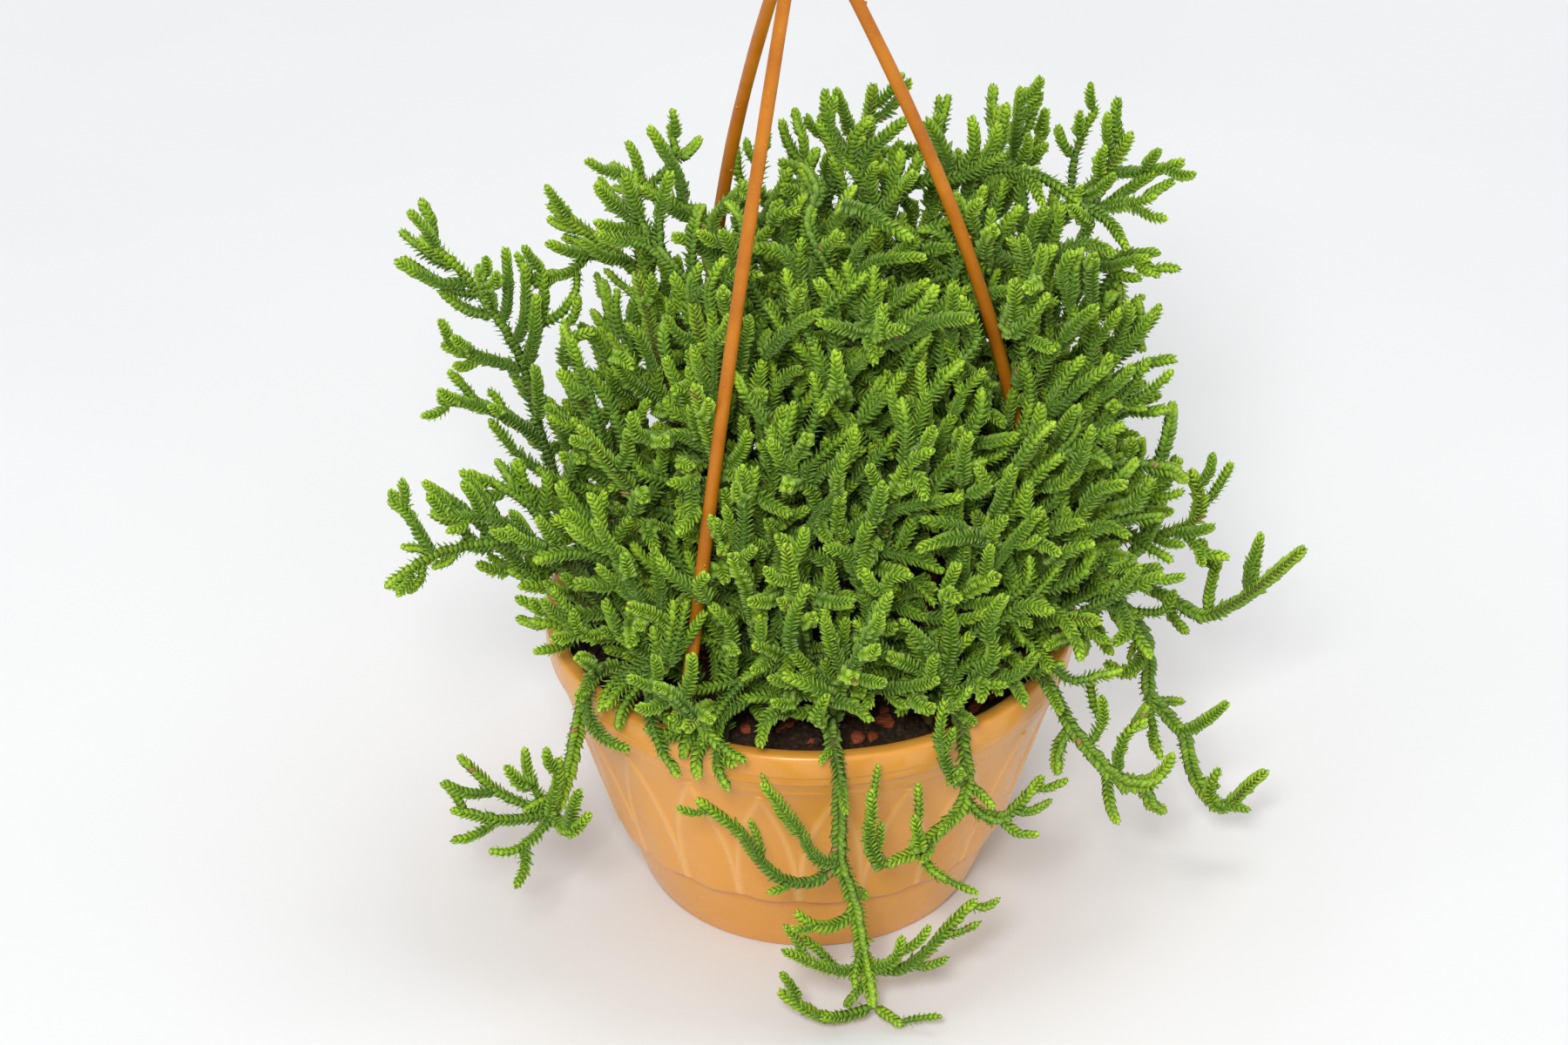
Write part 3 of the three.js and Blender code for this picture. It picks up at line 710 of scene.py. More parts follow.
def soil_paint():
    paint = Paint("potting_soil_paint", 0.95, 0.25)
    grain = paint.noise(420, 6, 0.7)
    base = paint.ramp(grain, [(0.3, (30, 21, 14)), (0.55, (66, 49, 34)), (0.75, (124, 98, 70))])
    base = paint.mix(paint.span(paint.noise(70, 3), 0.45, 0.7, 0, 0.5), base, (60, 40, 26))
    rough = paint.span(grain, 0.3, 0.7, 0.8, 1.0)
    return paint.finish(base, rough, paint.noise(900, 5, 0.7), 0.8, 0.9)


def bark_paint():
    paint = Paint("bark_paint", 0.85, 0.3)
    fibre = paint.noise(260, 5, 0.65, paint.stretched((1, 5, 3)))
    base = paint.ramp(fibre, [(0.3, (98, 40, 22)), (0.55, (158, 78, 46)), (0.75, (196, 122, 84))])
    return paint.finish(base, paint.span(fibre, 0.3, 0.7, 0.7, 0.95), fibre, 0.9, 0.8)


# The foliage's colour depends only on its own map. Across, the map holds eight cells: six
# kinds of leaf, each from its base to its tip, then a dry leaf, then bare stem. Up the map
# a leaf goes from old to young.
LEAF_CELLS = 8
DRY_CELL = 6
STEM_CELL = 7


def foliage_paint():
    paint = Paint("foliage_paint", 0.55, 0.3)
    leaf_map = paint.node("UVMap", {}, uv_map="OFBake").outputs["UV"]
    split = paint.node("SeparateXYZ", {"Vector": leaf_map})
    cells = paint.maths("MULTIPLY", split.outputs["X"], LEAF_CELLS)
    cell = paint.maths("FLOOR", cells)
    along = paint.maths("FRACT", cells)
    green = paint.ramp(split.outputs["Y"], [
        (0.0, (46, 76, 32)), (0.25, (74, 107, 34)), (0.5, (106, 143, 30)),
        (0.75, (142, 179, 28)), (1.0, (176, 210, 40))])
    kind = paint.node("TexWhiteNoise", {"W": cell}, noise_dimensions="1D")
    shade = paint.span(kind.outputs["Value"], 0, 1, 0, 0.3)
    green = paint.mix(shade, green, (74, 108, 36))
    # Painted highlight towards each leaf's tip, and painted shade at its base, where it tucks in
    # against the stem and the leaves round it.
    tip = paint.maths("POWER", along, 4.0)
    green = paint.mix(paint.maths("MULTIPLY", tip, 0.5), green, (184, 208, 124))
    green = paint.mix(paint.span(along, 0.0, 0.35, 0.35, 0.0), green, (52, 82, 20))
    fleck = paint.noise(160, 4, 0.6, leaf_map)
    green = paint.mix(paint.span(fleck, 0.5, 0.8, 0, 0.3), green, (118, 152, 66))
    dry = paint.ramp(fleck, [(0.35, (112, 78, 40)), (0.7, (188, 160, 96))])
    stem = paint.ramp(fleck, [(0.35, (74, 84, 44)), (0.7, (116, 104, 66))])
    colour = paint.mix(paint.maths("GREATER_THAN", cells, DRY_CELL), green, dry)
    colour = paint.mix(paint.maths("GREATER_THAN", cells, STEM_CELL), colour, stem)
    return paint.finish(colour, paint.span(fleck, 0.3, 0.8, 0.45, 0.65))


def dress(made, paint, slot, *nodes):
    """Gives a finished piece its material and its body, and hides the nodes that it stands for. The
    slot is not used.
    """
    made.data.materials.append(paint)
    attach(made, "root")
    if nodes:
        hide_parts(*nodes)


# ---- Tubes ----

def resampled(points, step):
    """Points an even step apart along a smooth path, and their distances from its start."""
    dense = path_points(points, np.linspace(0, 1, 24 * (len(points) - 1) + 1))
    lengths = np.concatenate([[0], np.cumsum(np.linalg.norm(np.diff(dense, axis=0), axis=1))])
    count = max(2, int(math.ceil(lengths[-1] / step)))
    at = np.linspace(0, lengths[-1], count + 1)
    return np.stack([np.interp(at, lengths, dense[:, k]) for k in range(3)], axis=1), at


def frames(line):
    """The direction, a normal and a side direction at each point, without twist."""
    along = np.gradient(line, axis=0)
    along /= np.linalg.norm(along, axis=1)[:, None]
    normal = np.cross(along[0], [0.31, 0.17, 0.93])
    if np.linalg.norm(normal) < 0.2:
        normal = np.cross(along[0], [1.0, 0.0, 0.0])
    normals = []
    for direction in along:
        normal = normal - direction * normal.dot(direction)
        normal = normal / np.linalg.norm(normal)
        normals.append(normal)
    normals = np.array(normals)
    return along, normals, np.cross(along, normals)


def ring_faces(rings, columns, first=0):
    """Four-sided faces between closed rings of vertices that follow each other."""
    rows = first + np.arange(rings - 1)[:, None] * columns
    column = np.arange(columns)[None, :]
    following = (column + 1) % columns
    return np.stack([rows + column, rows + following, rows + columns + following,
                     rows + columns + column], -1).reshape(-1, 4)


def closed_faces(rings, columns, first, low, high):
    """Triangles of a closed surface: rings of vertices, anticlockwise from above, from the
    vertex that first numbers, between the single vertices that low and high number."""
    sides = ring_faces(rings, columns, first)
    column = first + np.arange(columns)
    following = first + (np.arange(columns) + 1) % columns
    end = (rings - 1) * columns
    return np.concatenate([
        sides[:, [0, 1, 2]], sides[:, [0, 2, 3]],
        np.stack([np.full(columns, low), following, column], -1),
        np.stack([np.full(columns, high), end + column, end + following], -1)])


def tube_mesh(line, radii, sides):
    """Vertices and triangles of a tube along a line of points, with its radius at each."""
    _, normals, across = frames(line)
    angles = 2 * math.pi * np.arange(sides) / sides
    ring = np.cos(angles)[None, :, None] * normals[:, None, :]
    ring = ring + np.sin(angles)[None, :, None] * across[:, None, :]
    radii = np.broadcast_to(np.asarray(radii, float), (len(line),))
    walls = (line[:, None, :] + ring * radii[:, None, None]).reshape(-1, 3)
    count = len(walls)
    return (np.vstack([walls, line[0], line[-1]]),
            closed_faces(len(line), sides, 0, count, count + 1))


def joined(parts):
    """Several (vertices, triangles) pairs as one."""
    vertices, triangles, count = [], [], 0
    for v, t in parts:
        vertices.append(v)
        triangles.append(t + count)
        count += len(v)
    return np.vstack(vertices), np.vstack(triangles)


# ---- Pot ----

def petal_relief(azimuth, height):
    """The embossed petals at these azimuths and heights: how far they stand out, and how
    much of a rib or of the groove under the petals is there, from 0 to 1."""
    pitch = 360 / PETALS
    turn = (azimuth - PETAL_TURN + pitch / 2) % pitch - pitch / 2
    radius = FOOT_RADIUS + (NECK_RADIUS - FOOT_RADIUS) * height / NECK_HEIGHT
    side = np.radians(turn) * radius
    half = np.radians(pitch / 2) * radius
    share = np.clip((height - PETAL_BASE) / (PETAL_TOP - PETAL_BASE), 0, 1)
    arch = half * PETAL_FILL * (1 - share ** PETAL_ROUNDING)
    slope = PETAL_ROUNDING * half * share ** (PETAL_ROUNDING - 1) / (PETAL_TOP - PETAL_BASE)
    away = (np.abs(side) - arch) / np.sqrt(1 + slope ** 2)
    scallop = PETAL_BASE - SCALLOP * np.cos(math.pi * side / (2 * half))
    above = 1 / (1 + np.exp(np.clip(-(height - scallop) * LEDGE_SHARPNESS, -30, 30)))
    fade = above * np.where(height < PETAL_TOP + 2, 1 - 0.4 * share, 0)
    rib = np.exp(-(away / RIB_WIDTH) ** 2) * fade
    bulge = np.clip(1 - (side / np.maximum(arch, 0.5)) ** 2, 0, 1) * fade
    ledge = np.exp(-np.maximum(height - scallop, 0) / LEDGE_FADE) * above
    groove = np.exp(-((height - scallop + 1.0) / GROOVE_WIDTH) ** 2)
    relief = RIB_HEIGHT * rib + PETAL_BULGE * bulge * (1 - rib) + PETAL_LEDGE * ledge
    return relief - GROOVE_DEPTH * groove, rib, groove


def pot_section():
    """The pot's section as (radius, height, share of the relief), up the outside, over the
    rim and down the inside to the floor."""
    section = []
    corner = FOOT_CORNER
    for i in range(5):
        angle = math.radians(90 * i / 4)
        section.append((FOOT_RADIUS - corner + corner * math.sin(angle),
                        corner - corner * math.cos(angle), 0.0))
    height = corner + PLAIN_ROW
    while height < NECK_HEIGHT - 1.2:
        flare = FLARE * max(0.0, (height - NECK_HEIGHT + FLARE_HEIGHT) / FLARE_HEIGHT) ** 2
        bead = BEAD_HEIGHT * math.exp(-((height - NECK_HEIGHT + BEAD_DROP) / 0.8) ** 2)
        section.append((wall_radius(height) + flare + bead, height, 1.0))
        in_pattern = PETAL_BASE - 5 < height < NECK_HEIGHT
        height += PETAL_ROW if in_pattern else PLAIN_ROW
    section += [(NECK_RADIUS + out, NECK_HEIGHT + up, 0.0) for out, up in BAND_STEP]
    section += [(RIM_RADIUS - inside, POT_HEIGHT - down, 0.0) for inside, down in RIM_OUTLINE]
    section += [(INNER_RIM + out, POT_HEIGHT - down, 0.0) for out, down in RIM_INSIDE]
    for i in range(6, -1, -1):
        height = WALL + (NECK_HEIGHT - WALL) * i / 6
        section.append((wall_radius(height) - WALL, height, 0.0))
    return np.array(section)


def add_base_plate(bm, radius, height):
    """A flat disc with the drain holes left open. Returns the holes' rims."""
    def circle(centre, size, count):
        points = [(centre[0] + size * math.cos(2 * math.pi * i / count),
                   centre[1] + size * math.sin(2 * math.pi * i / count)) for i in range(count)]
        corners = [bm.verts.new((x * MM, y * MM, height * MM)) for x, y in points]
        edges = [bm.edges.new((corners[i], corners[(i + 1) % count])) for i in range(count)]
        return corners, edges

    outer, edges = circle((0, 0), radius, 96)
    rims = []
    for i in range(DRAIN_HOLE_COUNT):
        centre = around(360 * i / DRAIN_HOLE_COUNT, DRAIN_HOLE_CIRCLE, 0)
        corners, hole_edges = circle(centre, DRAIN_HOLE_RADIUS, 20)
        rims.append(corners)
        edges += hole_edges
    bmesh.ops.triangle_fill(bm, use_beauty=True, edges=edges)
    return rims


def lug_blocks():
    """The slotted lug of each leg, as bars round its slot: (azimuth, side, radius, width,
    depth)."""
    outer = RIM_RADIUS - RIM_WIDTH / 2
    inner = INNER_RIM - LUG_DEPTH
    slot_width = CLIP_WIDTH + 2 * CLEARANCE
    slot_depth = CLIP_DEPTH + 2 * CLEARANCE
    slot_out = SEAT_RADIUS + slot_depth / 2
    slot_in = SEAT_RADIUS - slot_depth / 2
    cheek = (LUG_WIDTH - slot_width) / 2
    blocks = []
    for azimuth, _ in LEGS.values():
        for sign in (-1, 1):
            blocks.append((azimuth, sign * (slot_width + cheek) / 2, (outer + inner) / 2,
                           cheek, outer - inner))
        blocks.append((azimuth, 0, (slot_in + inner) / 2, slot_width, slot_in - inner))
        blocks.append((azimuth, 0, (outer + slot_out) / 2, slot_width, outer - slot_out))
    return blocks


def beside(azimuth, side, radius, height):
    """A mesh point at a distance from the pot's axis and to the side of an azimuth."""
    angle = math.radians(azimuth)
    return Vector((side * math.cos(angle) + radius * math.sin(angle),
                   side * math.sin(angle) - radius * math.cos(angle), height)) * MM


def add_block(bm, azimuth, side, radius, bottom, width, depth, height, edge=0.5):
    """A block with softened edges, its width along the rim and its depth along the radius."""
    made = bmesh.ops.create_cube(bm, size=1.0)["verts"]
    for corner in made:
        x, y, z = corner.co
        corner.co = beside(azimuth, x * width + side, radius - y * depth,
                           bottom + (z + 0.5) * height)
    edges = list(dict.fromkeys(e for v in made for e in v.link_edges))
    bmesh.ops.bevel(bm, geom=edges, offset=edge * MM, segments=2, affect="EDGES")


def add_base_and_lugs(bm):
    lower = add_base_plate(bm, FOOT_RADIUS - FOOT_CORNER, 0)
    upper = add_base_plate(bm, wall_radius(WALL) - WALL, WALL)
    for low_rim, high_rim in zip(lower, upper):
        count = len(low_rim)
        for i in range(count):
            j = (i + 1) % count
            bm.faces.new((low_rim[i], low_rim[j], high_rim[j], high_rim[i]))
    for azimuth, side, radius, width, depth in lug_blocks():
        add_block(bm, azimuth, side, radius, LUG_TOP - LUG_HEIGHT, width, depth, LUG_HEIGHT)


def build_pot():
    section = pot_section()
    azimuths = 360 * np.arange(POT_COLUMNS) / POT_COLUMNS
    radius, height, on_wall = [section[:, k][:, None] for k in range(3)]
    relief, rib, groove = [part * on_wall for part in petal_relief(azimuths[None, :], height)]
    reach = radius + relief
    angle = np.radians(azimuths)[None, :]
    grid = np.stack([reach * np.sin(angle), -reach * np.cos(angle),
                     np.broadcast_to(height, reach.shape)], -1)
    shell = new_mesh_object("pot_shell", grid.reshape(-1, 3), ring_faces(len(section), POT_COLUMNS))
    add_solids(shell, add_base_and_lugs, SHARP_POT_EDGE)
    # The rib and groove shares go to the pot's paint, for its painted highlight on the ribs and
    # painted shade in the groove.
    for name, share in (("rib", rib), ("groove", groove)):
        layer = shell.data.attributes.new(name, "FLOAT", "POINT")
        values = np.zeros(len(shell.data.vertices), np.float32)
        values[:share.size] = share.ravel()
        layer.data.foreach_set("value", values)
    dress(shell, pot_paint(), "pot_plastic", "pot")


# ---- Soil and bark ----

def rough_height(x, y, size, seed):
    """A smooth random height, about -1 to 1, with bumps of this size in millimetres."""
    return noise.noise(Vector((x / size, y / size, seed)))


def soil_top(x, y):
    """The soil's height: it rises towards the stems and dips at the wall."""
    reach = math.hypot(x, y) / SOIL_RADIUS
    mound = 1.6 * (1 - reach ** 2) - 0.9
    return SOIL_LEVEL + mound + 1.1 * rough_height(x, y, 14, 3) + 0.7 * rough_height(x, y, 5, 8)


def lump(random, size, detail, flatness=(1, 1, 1)):
    """A rough closed lump about its own origin: vertices and triangles."""
    bm = bmesh.new()
    bmesh.ops.create_icosphere(bm, subdivisions=detail, radius=1.0)
    seed = random.uniform(0, 100)
    axes = Vector(flatness) * size
    vertices = []
    for v in bm.verts:
        push = 1 + 0.45 * noise.noise(v.co * 1.7 + Vector((seed, 0, 0)))
        vertices.append([v.co.x * push * axes.x, v.co.y * push * axes.y, v.co.z * push * axes.z])
    triangles = [[v.index for v in f.verts] for f in bm.faces]
    bm.free()
    return np.array(vertices), np.array(triangles)


def turned_randomly(random, vertices, tilt):
    a, b = random.uniform(0, 2 * math.pi), random.uniform(-tilt, tilt)
    about_z = np.array([[math.cos(a), -math.sin(a), 0], [math.sin(a), math.cos(a), 0], [0, 0, 1]])
    about_x = np.array([[1, 0, 0], [0, math.cos(b), -math.sin(b)], [0, math.sin(b), math.cos(b)]])
    return vertices @ about_x.T @ about_z.T


def strewn_lumps(random, count, margin, draw_size, detail, flatness, tilt, lift):
    """Lumps strewn evenly over the soil, each raised by a share of its size."""
    parts = []
    for _ in range(count):
        radius = (SOIL_RADIUS - margin) * math.sqrt(random.uniform(0, 1))
        angle = random.uniform(0, 2 * math.pi)
        x, y = radius * math.sin(angle), -radius * math.cos(angle)
        size = draw_size()
        v, t = lump(random, size, detail, flatness)
        v = turned_randomly(random, v, tilt)
        parts.append((v + [x, y, soil_top(x, y) + lift * size], t))
    return parts


def build_soil():
    random = np.random.default_rng(11)
    rings = [(SOIL_RADIUS * r / SOIL_RINGS, None) for r in range(1, SOIL_RINGS + 1)]
    for height in (SOIL_LEVEL - 4, SOIL_LEVEL / 2, WALL + CLEARANCE):
        rings.append((wall_radius(height) - WALL - CLEARANCE, height))
    vertices = [[0, 0, soil_top(0, 0)]]
    for radius, height in rings:
        for c in range(SOIL_COLUMNS):
            angle = 2 * math.pi * c / SOIL_COLUMNS
            x, y = radius * math.sin(angle), -radius * math.cos(angle)
            vertices.append([x, y, soil_top(x, y) if height is None else height])
    vertices.append([0, 0, WALL + CLEARANCE])
    # These rings run from the top down, so every face is turned over.
    faces = closed_faces(len(rings), SOIL_COLUMNS, 1, 0, len(vertices) - 1)[:, ::-1]
    crumbs = strewn_lumps(random, SOIL_CRUMBS, 3, lambda: 0.7 + 2.4 * random.uniform(0, 1) ** 2,
                          1, (1, 0.8, 0.6), math.pi, 0.2)
    soil = new_mesh_object("potting_soil", *joined([(np.array(vertices, float), faces)] + crumbs))
    dress(soil, soil_paint(), "potting_soil", "soil")


def build_bark():
    """The six bark chips of the model, then small ones strewn between them."""
    random = np.random.default_rng(23)
    paint = bark_paint()
    for i in range(len(CHIP_SIZES)):
        low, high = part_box(f"bark_chip_{i + 1}")
        centre = np.array((low + high) / 2) / MM
        half = np.array(high - low) / 2 / MM
        v, t = lump(random, 1.0, 3)
        v = np.sign(v) * np.abs(v) ** 0.7
        v = v / np.abs(v).max(axis=0) * half
        for corner in v:
            corner += 0.5 * rough_height(corner[0], corner[1] + corner[2], 1.6, i)
        chip = new_mesh_object(f"bark_piece_{i + 1}", v + centre, t)
        dress(chip, paint, "bark", f"bark_chip_{i + 1}")
    crumbs = strewn_lumps(random, BARK_CRUMBS, 5, lambda: random.uniform(1.2, 3.8),
                          2, (1.2, 0.8, 0.45), 0.5, 0.35)
    dress(new_mesh_object("bark_crumbs", *joined(crumbs)), paint, "bark")


# ---- Hanger ----

def nubs(random, line, radius):
    """Small mould marks along a rod: short domes on its surface."""
    along, normals, across = frames(line)
    parts = []
    for i in range(6, len(line) - 6, 9):
        angle = random.uniform(0, 2 * math.pi)
        out = normals[i] * math.cos(angle) + across[i] * math.sin(angle)
        v, t = lump(random, 0.8, 2)
        parts.append((v * 0.9 + line[i] + out * (radius - 0.1), t))
    return parts


def clip_outline():
    """Half of the clip's outline from its foot up to the rod: (half width, height)."""
    bottom, top = CLIP_BOTTOM, CLIP_BOTTOM + CLIP_HEIGHT
    return [(CLIP_WIDTH * 0.36, bottom), (CLIP_WIDTH / 2, bottom + CLIP_BARB),
            (CLIP_WIDTH / 2, LUG_TOP + 1.0), (CLIP_WIDTH / 2 + 0.4, LUG_TOP + 2.0),
            (CLIP_WIDTH / 2 + 0.4, LUG_TOP + 4.5), (LEG_RADIUS + 1.2, top - 1.0),
            (LEG_RADIUS, top + 3.0)]


def add_clip(bm, azimuth):
    half = clip_outline()
    outline = [(-w, z) for w, z in half] + [(w, z) for w, z in reversed(half)]
    front, back = [[bm.verts.new(beside(azimuth, w, SEAT_RADIUS + side * CLIP_DEPTH / 2, z))
                    for w, z in outline] for side in (1, -1)]
    made = [bm.faces.new(front), bm.faces.new(list(reversed(back)))]
    count = len(outline)
    for i in range(count):
        j = (i + 1) % count
        made.append(bm.faces.new((front[i], back[i], back[j], front[j])))
    bmesh.ops.recalc_face_normals(bm, faces=made)
    edges = list(dict.fromkeys(e for f in made for e in f.edges))
    bmesh.ops.bevel(bm, geom=edges, offset=0.55 * MM, segments=3, affect="EDGES")
    add_block(bm, azimuth, 0, SEAT_RADIUS, CLIP_BOTTOM, CLIP_WIDTH * 0.9,
              CLIP_DEPTH + 2 * CLIP_BARB, CLIP_BARB)
    for side in (-1, 1):
        boss = bmesh.ops.create_cone(bm, cap_ends=True, segments=20, radius1=2.0 * MM,
                                     radius2=1.5 * MM, depth=1.2 * MM)["verts"]
        middle = around(azimuth, SEAT_RADIUS + side * (CLIP_DEPTH / 2 + 0.3), LUG_TOP + 4.0)
        turn = Vector((0, 0, 1)).rotation_difference(Vector(around(azimuth, side, 0)))
        for corner in boss:
            corner.co = turn @ corner.co + Vector(middle) * MM


def build_legs(paint):
    random = np.random.default_rng(5)
    for name, (azimuth, bow) in LEGS.items():
        line, at = resampled(leg_route(azimuth, bow), 4)
        rod = tube_mesh(line, LEG_RADIUS * (1 + 0.02 * np.sin(at / 9.0)), ROD_SIDES)
        parts = [rod] + nubs(random, line, LEG_RADIUS)
        leg = new_mesh_object(name.replace("leg", "rod"), *joined(parts))
        add_solids(leg, lambda bm: add_clip(bm, azimuth), SHARP_HANGER_EDGE)
        dress(leg, paint, "hanger_plastic", name)


def turned_part(section, sides, centre):
    """A closed solid of revolution from its outline, which starts and ends on the axis."""
    vertices = [[centre[0], centre[1], section[0][1]]]
    for radius, height in section[1:-1]:
        for i in range(sides):
            angle = 2 * math.pi * i / sides
            vertices.append([centre[0] + radius * math.cos(angle),
                             centre[1] + radius * math.sin(angle), height])
    vertices.append([centre[0], centre[1], section[-1][1]])
    return (np.array(vertices, float),
            closed_faces(len(section) - 2, sides, 1, 0, len(vertices) - 1))


def build_hook(paint):
    top = HUB_BASE + HUB_HEIGHT
    middle = HUB_BASE + HUB_HEIGHT / 2
    section = [(0, HUB_BASE), (HUB_RADIUS - 1.2, HUB_BASE), (HUB_RADIUS - 0.3, HUB_BASE + 0.4),
               (HUB_RADIUS, HUB_BASE + 1.2), (HUB_RADIUS, HUB_BASE + 2.6),
               (HUB_RADIUS - 0.7, HUB_BASE + 3.1), (HUB_RADIUS - 0.7, middle - 1.6),
               (HUB_RADIUS, middle - 1.0), (HUB_RADIUS - 0.1, middle)]
    for i in range(1, 9):
        share = i / 8
        bell = HUB_RADIUS + (HUB_TOP_RADIUS - HUB_RADIUS) * math.sin(share * math.pi / 2)
        section.append((bell, middle + (top - middle) * share))
    section.append((0, top))
    parts = [turned_part(section, 40, HUB_LEAN)]
    points = [[0, 0, middle], [0, 0, top]]
    for turn in range(0, HOOK_SWEEP + 1, 15):
        angle = math.radians(turn)
        points.append([HOOK_RADIUS * math.sin(angle), 0,
                       top + HOOK_NECK + HOOK_RADIUS * (1 - math.cos(angle))])
    line, at = resampled(np.array(points) + HUB_LEAN, 1.6)
    left = at[-1] - at
    radii = LEG_RADIUS * np.sqrt(np.clip(1 - (1 - np.clip(left / LEG_RADIUS, 0, 1)) ** 2, 0.02, 1))
    parts.append(tube_mesh(line, radii, ROD_SIDES))
    for leg in LEGS.values():
        route = leg_route(*leg)
        out = unit(route[-2] - route[-1])
        collar = np.array([route[-1] + out * along for along in (-1.0, 5.0, 9.0, 9.6)])
        parts.append(tube_mesh(collar, [3.6, 3.6, 3.4, 2.9], ROD_SIDES))
    hook = new_mesh_object("hanger_hook_and_hub", *joined(parts))
    hook.data.set_sharp_from_angle(angle=math.radians(SHARP_HANGER_EDGE))
    dress(hook, paint, "hanger_plastic", "hanger_hook")


# ---- Foliage ----

# Sections along a leaf, for an old and a young one: how far along it, how far out from the
# shoot's middle its back, its edges and its inner face lie, and half its width.
OLD_LEAF = [(-0.1, 1.0, 0.8, 0.3, 1.5), (0.35, 2.35, 1.85, 1.2, 1.75),
            (0.72, 3.1, 2.75, 2.3, 1.2), (1.0, 3.75, 3.75, 3.75, 0.0)]
YOUNG_LEAF = [(-0.1, 1.15, 0.85, 0.4, 1.45), (0.4, 2.08, 1.6, 1.15, 1.7),
              (0.75, 2.46, 2.08, 1.8, 1.05), (1.0, 2.76, 2.76, 2.76, 0.0)]
LEAF_CORNERS = 13
LEAF_LENGTH = 2.45
# Distances along a shoot. Leaves start this far from its tip, are small and closed up to
# TIP_CLOSES from it and open out between the two values of LEAVES_OPEN.
NODE_GAP = 0.97
BARE_TIP = 1.4
TIP_CLOSES = 4.5
LEAVES_OPEN = (4.0, 14.0)
WOBBLE_STEP = 13.0
WOBBLE = 0.3
NODE_TWIST = 0.0022
TURN_JITTER = 0.13
FLARE_JITTER = 0.42
TIP_FOLD = 1.1
YOUTH_JITTER = 0.05
# The stem under the leaves, and how far up it has lost leaves and is thicker.
CORE_RADIUS = 1.15
STEM_SIDES = 6
STEM_SHADE = 0.3
BARE_STRETCH = 45
THICK_STRETCH = 60
# The share of dry leaves near the tip and, past DRY_FROM, further down.
DRY_SHARES = (0.001, 0.012)
DRY_FROM = 25
ROOT_DEPTH = 5.0
OLDEST_LEAF = 0.15
# The hanging stems keep lighter old leaves than the rest: painted light, for the stems that hang
# out in front of the pot.
OLDEST_HANGING_LEAF_PAINTED_LIGHT = 0.36


def leaf_template(sections):
    """Thirteen corners as (along, out, side, share along the leaf)."""
    corners = []
    for along, back, edge, inner, half in sections[:-1]:
        share = max(along, 0)
        corners += [(along, back, 0, share), (along, edge, half, share),
                    (along, inner, 0, share), (along, edge, -half, share)]
    along, out = sections[-1][:2]
    corners.append((along, out, 0, 1.0))
    return np.array(corners)


def leaf_triangles():
    triangles = []
    for ring in (0, 4):
        for i in range(4):
            j = (i + 1) % 4
            triangles.append([ring + i, ring + j, ring + 4 + j])
            triangles.append([ring + i, ring + 4 + j, ring + 4 + i])
    for i in range(4):
        triangles.append([8 + i, 8 + (i + 1) % 4, 12])
    return np.array(triangles)


LEAF_OLD = leaf_template(OLD_LEAF)
LEAF_YOUNG = leaf_template(YOUNG_LEAF)
LEAF_FACES = leaf_triangles()


